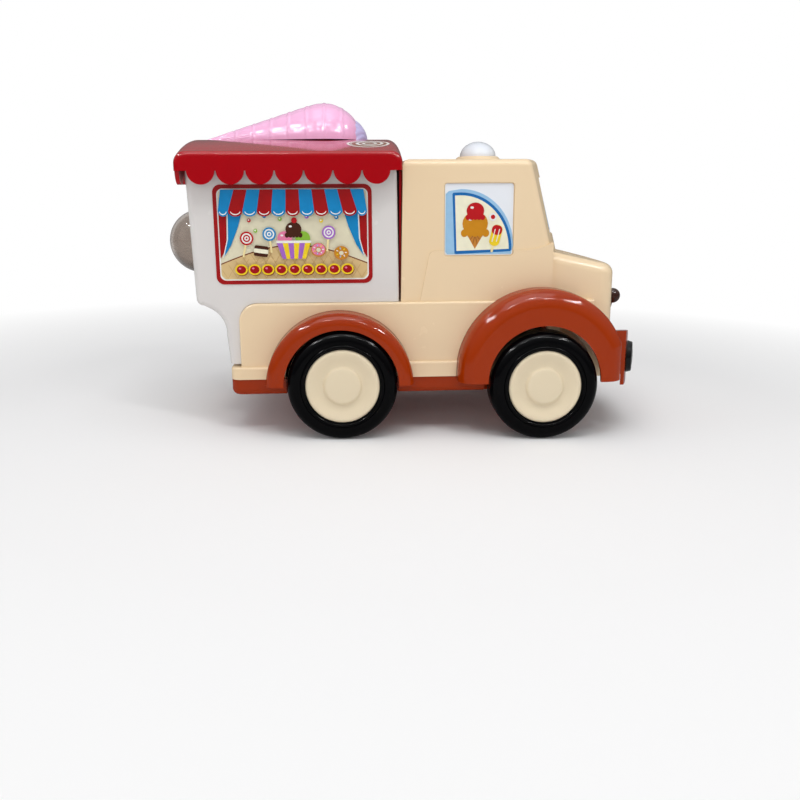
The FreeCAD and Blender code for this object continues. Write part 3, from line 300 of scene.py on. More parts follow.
cream = moulded("cream_plastic", "#F4DCB8", "#ECD1A9", 0.26, shine=0.5)
rust = moulded("rust_plastic", "#A23504", "#952B02", 0.11, shine=0.16, coat=0.40, edge=0.3)
crimson = moulded("crimson_plastic", "#AC0010", "#A2000C", 0.10, shine=0.3, coat=0.25)
white_shell = moulded("white_plastic", "#E2DEDB", "#DCD8D5", 0.26, shine=0.5)
pink = moulded("pink_plastic", "#FCC2E7", "#FABAE3", 0.14, shine=0.35, coat=0.3)
lilac = moulded("lilac_plastic", "#CDC6EE", "#C4BCEA", 0.22)
milky = moulded("milky_plastic", "#EFF3FA", "#E6EDF7", 0.20, coat=0.3)
black = moulded("black_plastic", "#0A0A0C", "#060608", 0.15, shine=0.3, coat=0.2)
brown = moulded("brown_plastic", "#3A1A10", "#30140C", 0.18, shine=0.4, coat=0.3)
tyre_black = moulded("tyre_plastic", "#040406", "#020203", 0.18, shine=0.10, coat=0.06)
hub_cream = moulded("hub_plastic", "#E9DABC", "#E4D3B4", 0.34)
steel = moulded("axle_steel", "#A8A8A6", "#989896", 0.30)
film_red = moulded("side_print", "#A80408", "#A00406", 0.30, shine=0.3)
film_white = moulded("window_print", "#EEF1F6", "#E8EDF4", 0.30)
motor_black = moulded("motor_case", "#18181A", "#121214", 0.45)

clear, tree, out = new_material("smoky_clear")
coords = add(tree, "TexCoord")
smoke = add(tree, "TexNoise", Scale=30.0, Detail=3.0)
tint = add(tree, "ValToRGB")
tint.color_ramp.elements[0].color = colour("#AFA49C")
tint.color_ramp.elements[1].color = colour("#C6BDB6")
haze = add(tree, "MapRange")
haze.inputs["To Min"].default_value = 0.04
haze.inputs["To Max"].default_value = 0.12
shader = add(tree, "BsdfPrincipled", IOR=1.49)
shader.inputs["Transmission Weight"].default_value = 1.0
tree.links.new(coords.outputs["Object"], smoke.inputs["Vector"])
tree.links.new(smoke.outputs["Fac"], tint.inputs["Fac"])
tree.links.new(smoke.outputs["Fac"], haze.inputs["Value"])
tree.links.new(tint.outputs["Color"], shader.inputs["Base Color"])
tree.links.new(haze.outputs[0], shader.inputs["Roughness"])
tree.links.new(shader.outputs[0], out.inputs["Surface"])

FINISH = {
    "body_shell": cream, "chassis": rust, "bumper": rust, "cargo_box": white_shell,
    "box_roof": crimson, "cone": pink, "scoop": lilac, "roof_lamp": milky,
    "rear_dome": clear, "headlamp": black, "grille_bar": brown,
    "front_wheel_arch": rust, "rear_wheel_arch": rust,
    "side_sticker": film_red, "window_sticker": film_white,
    "tyre": tyre_black, "hub": hub_cream, "axle": steel, "friction_motor": motor_black,
}
for name, thing in nodes.items():
    finish = next(FINISH[key] for key in FINISH if name.startswith(key))
    thing.data.materials.clear()
    thing.data.materials.append(finish)
print("plastics on", len(nodes), "solids")

# %% [markdown]
# ## The truck's own frame
# The front axle sits a little lower in the truck than the rear one, so the truck
# leans back by about a degree.  Pieces on the truck are drawn level, in
# millimetres, and leaned with it afterwards.

# %% Level frame
def middle_of(name, axis):
    """The middle of a solid's box along axis x, y or z, in millimetres."""
    low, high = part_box(name)
    return (getattr(low, axis) + getattr(high, axis)) / 2 / MM


front_axle_x, axle_z = middle_of("axle_front", "x"), middle_of("axle_front", "z")
rear_axle_x = middle_of("axle_rear", "x")
AXLE_DROP = 2.115
middle = Vector(((front_axle_x + rear_axle_x) / 2, 0, axle_z))
lean = (Matrix.Translation(middle)
        @ Matrix.Rotation(-math.asin(AXLE_DROP / (front_axle_x - rear_axle_x)), 4, "Y")
        @ Matrix.Translation(-middle))


def level_box(name):
    """Lowest and highest corner of a solid in the level frame, in millimetres."""
    back = lean.inverted()
    points = [back @ (nodes[name].matrix_world @ v.co / MM) for v in nodes[name].data.vertices]
    return [Vector([pick(p[i] for p in points) for i in range(3)]) for pick in (min, max)]


def settle(bm):
    """From level millimetres to the leaned truck in metres."""
    bmesh.ops.transform(bm, matrix=Matrix.Scale(MM, 4) @ lean, verts=bm.verts)


def sheet_from(columns, rows, place):
    """A grid whose point (u, v), both from 0 to 1, lies where place(u, v) says."""
    bm = bmesh.new()
    bmesh.ops.create_grid(bm, x_segments=columns, y_segments=rows, size=0.5)
    for vert in bm.verts:
        vert.co = place(vert.co.x + 0.5, vert.co.y + 0.5)
    return bm


roof_low, roof_high = level_box("box_roof")
ROOF_RISE = 7.9
roof_half = roof_high.y
camber = (roof_half ** 2 + ROOF_RISE ** 2) / (2 * ROOF_RISE)


def roof_z(y):
    """Height of the arched box roof at y."""
    return roof_high.z - camber + math.sqrt(camber ** 2 - y ** 2)


print("level roof:", [round(v, 1) for v in (*roof_low, *roof_high)])

# %% [markdown]
# ## The waffle cone
# The solid cone is smooth.  Its stand-in is a grid bent round the cone's axis and
# pushed outwards by a relief: a rib at every ring, thinner ribs lengthwise, and a
# pillow in each cell.  Each ring is closed by a flat underside a little below the
# roof's crest, so a thin gap opens where the roof arches away.

# %% Waffle cone
CONE_LENGTH, CONE_RADIUS, CONE_MOUTH, MOUTH_RADIUS = 61.5, 20.3, 18.5, 11.0
CONE_SUNK, CONE_TIP, SOFT = 1.4, 1.2, 1.2
RING_PITCH, FIRST_RING, CELLS_ROUND, RIB = 9.3, 7.6, 16, 0.75
cone_high = level_box("cone")[1]
cone_z = roof_high.z - CONE_SUNK
tip_x = cone_high.x - CONE_LENGTH - CONE_MOUTH


def cone_radius(s):
    """Radius at s from the tip: a straight flank run softly into a round shoulder."""
    squeeze = math.sqrt(CONE_RADIUS ** 2 - MOUTH_RADIUS ** 2) / CONE_MOUTH
    flank = CONE_TIP + (CONE_RADIUS + 0.5 - CONE_TIP) * s / CONE_LENGTH
    shoulder = math.sqrt(CONE_RADIUS ** 2 - (squeeze * max(s - CONE_LENGTH, 0)) ** 2)
    return -math.log(math.exp(-SOFT * flank) + math.exp(-SOFT * shoulder)) / SOFT


def waffle(s, angle, radius):
    """Height of the relief at s along the cone and angle round it."""
    ring = (s - FIRST_RING) / RING_PITCH
    cell = angle / (2 * math.pi / CELLS_ROUND)
    to_ring = abs(ring - round(ring)) * RING_PITCH
    to_line = abs(cell - round(cell)) * radius * 2 * math.pi / CELLS_ROUND
    ribs = max(math.exp(-(to_ring / RIB) ** 2), 0.5 * math.exp(-(to_line / RIB) ** 2))
    pillow = math.sqrt(abs(math.sin(math.pi * ring) * math.sin(math.pi * cell)))
    return (0.6 * ribs + 0.6 * pillow - 0.45) * min(radius / 7, 1)


def reach_round(axis_z, radius):
    """Angle from the top at which a ring of this radius meets the roof."""
    low, high = 0.0, math.pi * 0.75
    for _ in range(30):
        angle = (low + high) / 2
        above = axis_z + radius * math.cos(angle) > roof_z(radius * math.sin(angle)) - 0.4
        low, high = (angle, high) if above else (low, angle)
    return low


STEPS, LIP = 230, 2.4
mouth_s = CONE_LENGTH + CONE_MOUTH
profile = [(mouth_s * i / STEPS, None) for i in range(STEPS + 1)]
profile += [(mouth_s + 0.3, MOUTH_RADIUS - 0.7), (mouth_s, MOUTH_RADIUS - 1.4),
            (mouth_s - LIP, MOUTH_RADIUS - 1.6)]
SEAT_SUNK, UNDERSIDE = 0.25, 0.08
seat_z = roof_high.z - SEAT_SUNK


def on_cone(u, v):
    """The relief round the ring at u, closed by its flat underside."""
    s, radius = profile[round(u * (len(profile) - 1))]
    rib = radius is None
    radius = cone_radius(s) if rib else radius
    reach = math.acos(min((seat_z - cone_z) / radius, 0.97))
    if v > 1 - UNDERSIDE:
        across = 1 - 2 * (v - 1 + UNDERSIDE) / UNDERSIDE
        y = across * radius * math.sin(reach)
        return Vector((tip_x + s, y, cone_z + radius * math.cos(reach)))
    angle = (2 * v / (1 - UNDERSIDE) - 1) * reach
    if rib:
        radius += waffle(s, angle, radius) * min(1, 6 * (reach - abs(angle)))
    return Vector((tip_x + s, radius * math.sin(angle), cone_z + radius * math.cos(angle)))


bm = sheet_from(len(profile) - 1, 150, on_cone)
bmesh.ops.remove_doubles(bm, verts=bm.verts, dist=1e-4)
bmesh.ops.reverse_faces(bm, faces=bm.faces)
settle(bm)
cone = new_object("waffle_cone", bm, pink)
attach(cone, "truck")
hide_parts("cone")
print("cone:", len(cone.data.polygons), "faces, tip at", round(tip_x, 1))

# %% Scoop
SCOOP_RADIUS, SCOOP_RIBS = 13.0, 14
mouth_x = tip_x + mouth_s
scoop_x = mouth_x - math.sqrt(SCOOP_RADIUS ** 2 - MOUTH_RADIUS ** 2)


def on_scoop(u, v):
    """A ball in the cone's mouth with twisted ribs."""
    away = 0.02 + u * 1.35
    ball = SCOOP_RADIUS * math.sin(away)
    angle = (2 * v - 1) * reach_round(cone_z, max(ball, 1.0))
    rib = 0.35 * abs(math.sin(SCOOP_RIBS / 2 * (angle + 0.9 * away))) * math.sin(away)
    ring = (SCOOP_RADIUS + rib) * math.sin(away)
    return Vector((scoop_x + (SCOOP_RADIUS + rib) * math.cos(away),
                   ring * math.sin(angle), cone_z + ring * math.cos(angle)))


bm = sheet_from(40, 110, on_scoop)
settle(bm)
scoop = new_object("ribbed_scoop", bm, lilac)
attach(scoop, "truck")
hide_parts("scoop")
print("scoop:", len(scoop.data.polygons), "faces")

# %% [markdown]
# ## Printed film
# All prints share one material.  Each flat shape carries its ink as a colour
# attribute, and the material adds what print shops can't avoid: a slightly uneven
# coat of ink and a satin film over it.

# %% Ink
printed, tree, out = new_material("printed_film")
coords = add(tree, "TexCoord")
ink = add(tree, "Attribute", attribute_name="ink")
uneven = add(tree, "TexNoise", Scale=220.0, Detail=4.0)
coat = add(tree, "MapRange")
coat.inputs["To Min"].default_value = 0.86
coat.inputs["To Max"].default_value = 1.06
tint = add(tree, "VectorMath", operation="SCALE")
ripple = add(tree, "TexNoise", Scale=40.0, Detail=2.0)
bump = add(tree, "Bump", Strength=0.05, Distance=0.0003)
shader = add(tree, "BsdfPrincipled", Roughness=0.3)
shader.inputs["Specular IOR Level"].default_value = 0.2
tree.links.new(coords.outputs["Object"], uneven.inputs["Vector"])
tree.links.new(coords.outputs["Object"], ripple.inputs["Vector"])
tree.links.new(uneven.outputs["Fac"], coat.inputs["Value"])
tree.links.new(ink.outputs["Color"], tint.inputs[0])
tree.links.new(coat.outputs[0], tint.inputs["Scale"])
tree.links.new(tint.outputs[0], shader.inputs["Base Color"])
tree.links.new(ripple.outputs["Fac"], bump.inputs["Height"])
tree.links.new(bump.outputs["Normal"], shader.inputs["Normal"])
tree.links.new(shader.outputs[0], out.inputs["Surface"])

INK = {"red": "#A60A10", "white": "#F2F1EC", "field": "#E4DDC0", "blue": "#0E86C4",
       "sky": "#9CC8EA", "line_blue": "#1B6BB4", "tan": "#DDBF88", "tan_line": "#C8A268",
       "edge": "#7A3E20", "waffle": "#C98436", "waffle_line": "#8E5420", "rose": "#EC7FA8",
       "vanilla": "#F6E3A6", "choc": "#4A2416", "yellow": "#F4D428", "green": "#8CBF3C",
       "violet": "#A668C8", "ochre": "#CE8A18", "cap": "#C0141C", "cup": "#C4DDE8",
       "pale": "#F5F1D6", "brown": "#8A4B2A"}
LAYER, FILM_GAP = 0.012, 0.02


def paint(bm, ink_at):
    """Gives each face the ink that ink_at names for its middle."""
    layer = bm.loops.layers.float_color.new("ink")
    for face in bm.faces:
        shade = colour(INK[ink_at(face.calc_center_median())])
        for loop in face.loops:
            loop[layer] = shade


class Print:
    """Flat shapes in layers.  A point (u, v) is in millimetres on the film."""

    def __init__(self, surface):
        """surface gives the place of (u, v) lifted by so many millimetres."""
        self.bm = bmesh.new()
        self.layer = self.bm.loops.layers.float_color.new("ink")
        self.surface = surface
        self.depth = 0

    def shape(self, ink, outline):
        """One filled outline, laid over those before it."""
        self.depth += 1
        verts = [self.bm.verts.new(self.surface(u, v, LAYER * self.depth)) for u, v in outline]
        face = self.bm.faces.new(verts)
        for loop in face.loops:
            loop[self.layer] = colour(INK[ink])

    def finish(self, name, mirrored=False):
        """The print as an object that rides on the truck."""
        if mirrored:
            bmesh.ops.reverse_faces(self.bm, faces=self.bm.faces)
        settle(self.bm)
        thing = new_object(name, self.bm, printed, smooth=False)
        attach(thing, "truck")
        return thing


def arc(cu, cv, ru, rv, start=0, end=360, steps=20):
    """Points of an ellipse's arc, in degrees from the u axis."""
    angles = [math.radians(start + (end - start) * i / steps) for i in range(steps + 1)]
    return [(cu + ru * math.cos(a), cv + rv * math.sin(a)) for a in angles]


def oval(cu, cv, ru, rv=None):
    """A whole ellipse, or a circle if only one radius is given."""
    return arc(cu, cv, ru, rv or ru)[:-1]


def slab(u0, u1, v0, v1, r, tilt=0.0):
    """A rectangle with round corners, turned by tilt degrees about its middle."""
    points = []
    for cu, cv, start in ((u1 - r, v1 - r, 0), (u0 + r, v1 - r, 90),
                          (u0 + r, v0 + r, 180), (u1 - r, v0 + r, 270)):
        points += arc(cu, cv, r, r, start, start + 90, 6)
    mu, mv, a = (u0 + u1) / 2, (v0 + v1) / 2, math.radians(tilt)
    return [(mu + (u - mu) * math.cos(a) - (v - mv) * math.sin(a),
             mv + (u - mu) * math.sin(a) + (v - mv) * math.cos(a)) for u, v in points]


# %% [markdown]
# ## Side picture
# A red frame with a white line, a striped awning with scallops, drapes, and a
# counter with a tub of scoops, lollipops, ring cakes and a row of sweets.  It is
# the same on both sides, mirrored.

# %% Side picture
def scoop_on(page, u, v, r, ink, glint="white"):
    """A ball of ice cream with a skirt of drips and a small glint."""
    page.shape(ink, oval(u, v, r, r * 0.92))
    for n in range(-2, 3):
        page.shape(ink, oval(u + n * r * 0.42, v - r * 0.72, r * 0.27, r * 0.3))
    page.shape(glint, oval(u - r * 0.38, v + r * 0.36, r * 0.2, r * 0.13))


def wafer(page, u, v, width, height):
    """A pointed wafer with its mouth at (u, v)."""
    half, line = width / 2, 0.3
    page.shape("waffle", [(u, v - height), (u + half, v), (u - half, v)])
    for n in range(1, 4):
        f = n / 4
        low_v, edge, end = v - height * f, half * (1 - f) * 0.98, half * (1 - f) * 0.25
        page.shape("waffle_line", [(u - edge, low_v), (u - edge + line, low_v),
                                   (u + half * f * 0.02 + end + line, v), (u + end, v)])
        page.shape("waffle_line", [(u + edge - line, low_v), (u + edge, low_v),
                                   (u - end, v), (u - end - line, v)])


def swirl_pop(page, u, v, ink, tilt):
    """A round lollipop of rings on a stick, its head at (u, v)."""
    long, thick = 9.0, 0.45
    foot_u = u - math.tan(math.radians(tilt)) * long
    page.shape("vanilla", [(foot_u - thick, v - long), (foot_u + thick, v - long),
                           (u + thick, v), (u - thick, v)])
    for radius, shade in ((3.3, ink), (2.5, "white"), (1.8, ink), (1.1, "white"), (0.5, ink)):
        page.shape(shade, oval(u, v, radius))


def ring_cake(page, u, v, ink):
    """A ring cake with icing and a few sugar strands."""
    page.shape("waffle", oval(u, v, 3.7, 3.4))
    page.shape(ink, oval(u, v + 0.25, 3.2, 2.9))
    strands = 7
    for n in range(strands):
        a = 2 * math.pi * n / strands
        cu, cv = u + 2.2 * math.cos(a), v + 2.0 * math.sin(a)
        strand = slab(cu - 0.5, cu + 0.5, cv, cv + 0.5, 0.2, 50 * n)
        page.shape(("white", "yellow", "sky")[n % 3], strand)
    page.shape("waffle", oval(u, v + 0.1, 1.5, 1.4))
    page.shape("field", oval(u, v, 1.1, 1.0))


def biscuit(page, u, v, tilt):
    """Ice cream between two dark biscuits."""
    page.shape("choc", slab(u - 3.4, u + 3.4, v - 2.6, v + 2.6, 0.9, tilt))
    page.shape("pale", slab(u - 3.5, u + 3.5, v - 1.0, v + 1.0, 0.5, tilt))


def lolly(page, u, v, ink, tip, tilt):
    """An ice lolly with its middle at (u, v)."""
    a = math.radians(tilt)
    stick_u, stick_v = u + 6.5 * math.sin(a), v - 6.5 * math.cos(a)
    tip_u = u - 2.3 * math.sin(a)
    page.shape("vanilla", slab(stick_u - 0.6, stick_u + 0.6, stick_v - 2, stick_v + 2, 0.5, tilt))
    page.shape(ink, slab(u - 2.6, u + 2.6, v - 5.2, v + 5.2, 2.2, tilt))
    page.shape(tip, slab(tip_u - 2.6, tip_u + 2.6, v + 0.2, v + 5.0, 2.1, tilt))
    for side in (-1, 1):
        rib_u = u + side * 1.1
        page.shape("white", slab(rib_u - 0.22, rib_u + 0.22, v - 3.2, v + 3.2, 0.2, tilt))


SPARE, FOOT = 2.5, 2.6


def counter_top(u, left, right):
    """Height of the counter's bulging upper edge at u."""
    return 9.6 + 9.0 * math.sin(math.pi * (u - left) / (right - left))


def counter(page, left, right):
    """A tan counter with a quilted front."""
    points = [left + (right - left) * n / 24 for n in range(25)][::-1]
    top = [(u, counter_top(u, left, right)) for u in points]
    page.shape("edge", [(left, FOOT + 2), (right, FOOT + 2)] + [(u, v + 0.6) for u, v in top])
    page.shape("tan", [(left + 2, FOOT), (right - 2, FOOT), (right, FOOT + 2)]
               + top + [(left, FOOT + 2)])
    slope, line = 0.6, 0.22
    for n in range(15):
        for way in (-1, 1):
            u = left + 3 + (right - left - 6) * n / 14
            rise = min((counter_top(u + way * r * slope, left, right) - FOOT - 0.6)
                       for r in (2, 6, 10))
            end = min(max(u + way * rise * slope, left + 0.4), right - 0.4)
            rise = abs(end - u) / slope
            page.shape("tan_line", [(u, FOOT + 0.3), (u + line, FOOT + 0.3),
                                    (end + line, FOOT + rise), (end, FOOT + rise)])


DRAPE = (("red", [(0, 12.5), (3.2, 18), (3.8, 36), (0, 36)]),
         ("blue", [(1.4, 13.0), (5.4, 19), (9.2, 28), (11.6, 36), (4.2, 36), (3.7, 22)]),
         ("white", [(1.2, 13.0), (3.5, 22), (4.0, 36), (4.5, 36), (4.0, 22), (1.7, 13.4)]))


def drapes(page, left, right):
    """A drape gathered at each side."""
    for way, edge in ((-1, left), (1, right)):
        for ink, shape in DRAPE:
            page.shape(ink, [(edge - way * u, v) for u, v in shape[::-way]])


DOTS = ((17, 31, "cap"), (24.5, 33, "blue"), (32, 31.6, "green"), (45, 32.6, "violet"),
        (52, 30.6, "yellow"), (59.5, 32.2, "blue"), (20, 26, "green"), (57, 26.5, "cap"))


def dots(page):
    """Small bright balls in the air."""
    for u, v, ink in DOTS:
        page.shape(ink, oval(u, v, 0.95))
        page.shape("white", oval(u - 0.15, v + 0.2, 0.4))


def tub(page, middle):
    """A striped tub with three scoops and a cherry."""
    scoop_on(page, middle - 4.4, 22.4, 3.6, "rose")
    scoop_on(page, middle + 4.4, 22.4, 3.6, "green")
    scoop_on(page, middle, 26.6, 3.9, "choc")
    page.shape("cap", oval(middle + 0.4, 30.9, 1.4))
    for n in range(6):
        ends = [middle + (n + d - 3) * p for p in (1.9, 2.8) for d in (0, 1)]
        page.shape("yellow" if n % 2 else "violet",
                   [(ends[0], 12.4), (ends[1], 12.4), (ends[3], 20.6), (ends[2], 20.6)])
    page.shape("white", slab(middle - 8.6, middle + 8.6, 20.0, 21.2, 0.6))


def sweets(page, middle):
    """A row of round sweets along the counter's foot."""
    for n in range(9):
        u = middle + (n - 4) * 6.5
        page.shape("brown", oval(u + 0.3, 6.9, 3.1, 2.7))
        page.shape("yellow", oval(u, 7.3, 3.1, 2.7))
        page.shape("red", oval(u, 7.3, 2.3, 1.95))
        page.shape("rose", oval(u - 0.7, 7.9, 0.6, 0.45))


def awning(page, middle, left, right, top):
    """Red and blue stripes that end in scallops."""
    stripes, pitch, pitch_top, foot_v = 11, 6.9, 6.2, 35.6
    for n in range(stripes):
        ends = [min(max(middle + (n + d - stripes / 2) * p, left), right)
                for p in (pitch, pitch_top) for d in (0, 1)]
        if n == 0:
            ends[2] = left + 1.6
        if n == stripes - 1:
            ends[3] = right - 1.6
        mid, half = (ends[0] + ends[1]) / 2, (ends[1] - ends[0]) / 2
        ink = "red" if n % 2 else "blue"
        page.shape(ink, [(ends[0], foot_v), (ends[1], foot_v), (ends[3], top), (ends[2], top)])
        page.shape(ink, arc(mid, foot_v + 0.01, half, 2.7, 180, 360, 14))
        page.shape("white", arc(mid, foot_v - 0.1, half * 0.72, 1.9, 195, 345, 12)
                   + arc(mid, foot_v + 0.3, half * 0.68, 1.8, 345, 195, 12))


def film_page(side, low, high):
    """A page whose (0, 0) is the lower rear corner of a film on that side."""
    face = high.y if side > 0 else low.y
    return Print(lambda u, v, lift: Vector((low.x + u, face + side * (FILM_GAP + lift), low.z + v)))


def side_picture(name, side, low, high):
    """The whole picture on one side's film."""
    page = film_page(side, low, high)
    width, height = high.x - low.x, high.z - low.z
    middle, left, right = width / 2, SPARE, width - SPARE
    page.shape("white", slab(1.9, width - 1.9, 1.9, height - 1.9, 2.9))
    page.shape("field", slab(left, right, 2.4, height - 2.4, 2.5))
    counter(page, left, right)
    drapes(page, left, right)
    dots(page)
    tub(page, middle)
    swirl_pop(page, 15.6, 22.4, "cap", 12)
    biscuit(page, 22.4, 16.2, -8)
    swirl_pop(page, 26.6, 24.4, "blue", -6)
    ring_cake(page, 50.4, 16.6, "rose")
    swirl_pop(page, 55.6, 25.0, "violet", 6)
    ring_cake(page, 61.6, 15.0, "ochre")
    sweets(page, middle)
    awning(page, middle, left, right, height - 2.4)
    thing = page.finish(name, mirrored=side > 0)
    return thing


for side, hand in ((1, "left"), (-1, "right")):
    thing = side_picture(f"side_picture_{hand}", side, *level_box(f"side_sticker_{hand}"))
print("side picture:", len(thing.data.polygons), "shapes")

# %% [markdown]
# ## Window picture
# A quarter-round window in two blues on white film, with a cone behind it.

# %% Window picture
for side, hand in ((1, "left"), (-1, "right")):
    low, high = level_box(f"window_sticker_{hand}")
    page = film_page(side, low, high)
    wide, tall = high.x - low.x, high.z - low.z
    page.shape("sky", [(1.4, 0.4), (wide - 0.7, 0.4), (wide - 0.4, 1.6)]
               + arc(8.0, 4.5, 26.4, 27.6, 0, 90, 18)
               + [(2.0, tall - 3.6), (0.4, tall - 5.0), (0.4, 1.6)])
    page.shape("line_blue", [(5.0, 0.9), (5.6, 0.5), (33.0, 1.7), (33.7, 2.5)]
               + arc(8.0, 2.5, 25.7, 28.0, 0, 90, 18) + [(4.4, 30.4), (3.7, 29.9)])
    page.shape("pale", [(6.0, 2.1), (32.2, 2.9)]
               + arc(8.0, 2.5, 24.3, 26.6, 2, 90, 18) + [(5.0, 29.0)])
    wafer(page, 15.2, 12.0, 10.4, 9.0)
    scoop_on(page, 15.2, 15.4, 6.4, "ochre")
    scoop_on(page, 15.2, 21.6, 4.4, "cap")
    lolly(page, 25.6, 9.6, "yellow", "cap", -14)
    page.shape("white", oval(24.0, 18.6, 2.0))
    page.shape("cap", oval(24.0, 18.6, 1.1))
    thing = page.finish(f"window_picture_{hand}", mirrored=side > 0)
print("window picture:", len(thing.data.polygons), "shapes")

# %% [markdown]
# ## Swirls on the roof
# Two round labels lie on the arched roof, at opposite corners.

# %% Roof swirls
SWIRL_RADIUS, SWIRL_IN_X, SWIRL_IN_Y = 10.6, 16.0, 19.5
TURNS, STROKE, SWIRL_START, SWIRL_EDGE, RIM_SHARE = 2.6, 1.5, 0.8, 2.6, 0.87
LABEL_LIFT, STROKE_LIFT = 0.06, 0.12


def on_roof(cx, cy, radius, angle, lift):
    """A place over the arched roof, at an angle and distance round (cx, cy)."""
    x, y = cx + radius * math.cos(angle), cy + radius * math.sin(angle)
    return Vector((x, y, roof_z(y) + lift))


def roof_swirl(number, cx, cy):
    """A round brown label with a white rim and a white spiral."""
    def on_label(u, v):
        """A place on the round label."""
        return on_roof(cx, cy, 0.02 + u * SWIRL_RADIUS, 2 * math.pi * v, LABEL_LIFT)

    def on_stroke(u, v):
        """A place on the spiral, u along it and v across it."""
        wide = STROKE * min(1, 4 * u + 0.2, 6 * (1 - u) + 0.1)
        radius = SWIRL_START + u * (SWIRL_RADIUS - SWIRL_EDGE) + (v - 0.5) * wide
        return on_roof(cx, cy, radius, 2 * math.pi * TURNS * u, STROKE_LIFT)

    def label_ink(at):
        """White rim round a brown middle."""
        out_at = math.hypot(at.x - cx, at.y - cy)
        return "white" if out_at > SWIRL_RADIUS * RIM_SHARE else "brown"

    for name, bm, ink_at in (("label", sheet_from(8, 72, on_label), label_ink),
                             ("swirl", sheet_from(150, 2, on_stroke), lambda at: "white")):
        paint(bm, ink_at)
        settle(bm)
        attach(new_object(f"roof_{name}_{number}", bm, printed), "truck")


for number, side in enumerate((-1, 1)):
    cx = (roof_low.x + roof_high.x) / 2 - side * ((roof_high.x - roof_low.x) / 2 - SWIRL_IN_X)
    roof_swirl(number, cx, side * (roof_half - SWIRL_IN_Y))
print("swirls at x", round(cx, 1))

# %% [markdown]
# ## Windscreen
# A film of tinted panes fills the recess in the curved, leaning front.

# %% Windscreen
SCREEN_FOOT, SCREEN_SLOPE, BELT = 4.1, 11.5 / 43.95, 92.8
NOSE_BEND, CAB_HALF, RECESS = 120.0, 50.3, 0.9
SCREEN_Z, SCREEN_HEIGHT, SCREEN_HALF, SCREEN_TAPER = 99.4, 28.6, 42.0, 4.0
SCREEN_SPARE, FILM_LIFT = 0.7, 0.12
corner_drop = NOSE_BEND - math.sqrt(NOSE_BEND ** 2 - CAB_HALF ** 2)


def recess_half(z):
    """Half width of the windscreen's recess at height z."""
    return SCREEN_HALF - SCREEN_TAPER * (z - SCREEN_Z) / SCREEN_HEIGHT


def on_screen(u, v):
    """A place on the floor of the curved, leaning recess."""
    z = SCREEN_Z + SCREEN_SPARE + v * (SCREEN_HEIGHT - 2 * SCREEN_SPARE)
    y = (2 * u - 1) * (recess_half(z) - 0.8)
    front = front_axle_x + SCREEN_FOOT - SCREEN_SLOPE * (z - BELT) + corner_drop
    bent = front - NOSE_BEND + math.sqrt(NOSE_BEND ** 2 - y ** 2)
    return Vector((bent - RECESS + FILM_LIFT, y, z))


def pane_ink(at):
    """White rim, blue line, and sky with two slanting glints on each half."""
    rim = min(recess_half(at.z) - abs(at.y), at.z - SCREEN_Z, SCREEN_Z + SCREEN_HEIGHT - at.z)
    if rim < 2.2:
        return "white"
    if rim < 3.6 or abs(at.y) < 0.8:
        return "line_blue"
    glint = (abs(at.y) - 0.7 * (at.z - SCREEN_Z)) % 18
    return "cup" if glint < 3.4 or 5.0 < glint < 6.2 else "sky"


bm = sheet_from(150, 48, on_screen)
paint(bm, pane_ink)
bmesh.ops.recalc_face_normals(bm, faces=bm.faces)
if sum(face.normal.x for face in bm.faces) < 0:
    bmesh.ops.reverse_faces(bm, faces=bm.faces)
settle(bm)
screen = new_object("windscreen_film", bm, printed)
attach(screen, "truck")
print("windscreen:", len(screen.data.polygons), "faces")

# %% [markdown]
# ## Wheels
# The hub's dish is deeper than the solid's, the tyre's shoulder is rounder, and a
# bead runs round the tyre where it grips the hub.  All are outlines turned about
# the axle.

# %% Wheels
def turned(outline, steps=96):
    """A solid of revolution about Y from points (radius, y)."""
    bm = bmesh.new()
    verts = [bm.verts.new((r, y, 0)) for r, y in outline]
    edges = [bm.edges.new(pair) for pair in zip(verts, verts[1:])]
    bmesh.ops.spin(bm, geom=verts + edges, cent=(0, 0, 0), axis=(0, 1, 0), angle=2 * math.pi,
                   steps=steps, use_merge=True)
    bmesh.ops.remove_doubles(bm, verts=bm.verts, dist=1e-5)
    bmesh.ops.recalc_face_normals(bm, faces=bm.faces)
    return bm


FACE_Y, WHEEL_WIDTH, HUB_RADIUS, HUB_SKIN, BOSS = 69.0, 17.5, 18.4, 3.6, 5.0
DISC_RADIUS, DISH, RIM, RIM_WALL, BOSS_WALL = 9.4, 2.1, 1.5, 2.4, 0.6
TYRE_RADIUS, SHOULDER, HEEL, SEAT_GAP = 27.4, 5.2, 3.6, 0.05
RIM_FOOT, TYRE_SEAT, TYRE_BACK = HUB_RADIUS - RIM, HUB_RADIUS + SEAT_GAP, TYRE_RADIUS - HEEL
DISH_STEPS = 8
rim_arc = arc(RIM_FOOT, -RIM, RIM, RIM, 0, 90, DISH_STEPS)
dish = [(RIM_FOOT - (RIM_FOOT - DISC_RADIUS - 1.0) * n / DISH_STEPS,
         -DISH * (0.5 - 0.5 * math.cos(math.pi * n / DISH_STEPS)) ** 0.8)
        for n in range(1, DISH_STEPS + 1)]
disc = [(DISC_RADIUS + 0.45, -DISH), (DISC_RADIUS, -DISH + 0.35), (DISC_RADIUS - 0.25, -1.2),
        (DISC_RADIUS - 0.6, -0.8), (DISC_RADIUS - 1.2, -0.55), (DISC_RADIUS - 2.2, -0.45),
        (0, -0.4)]
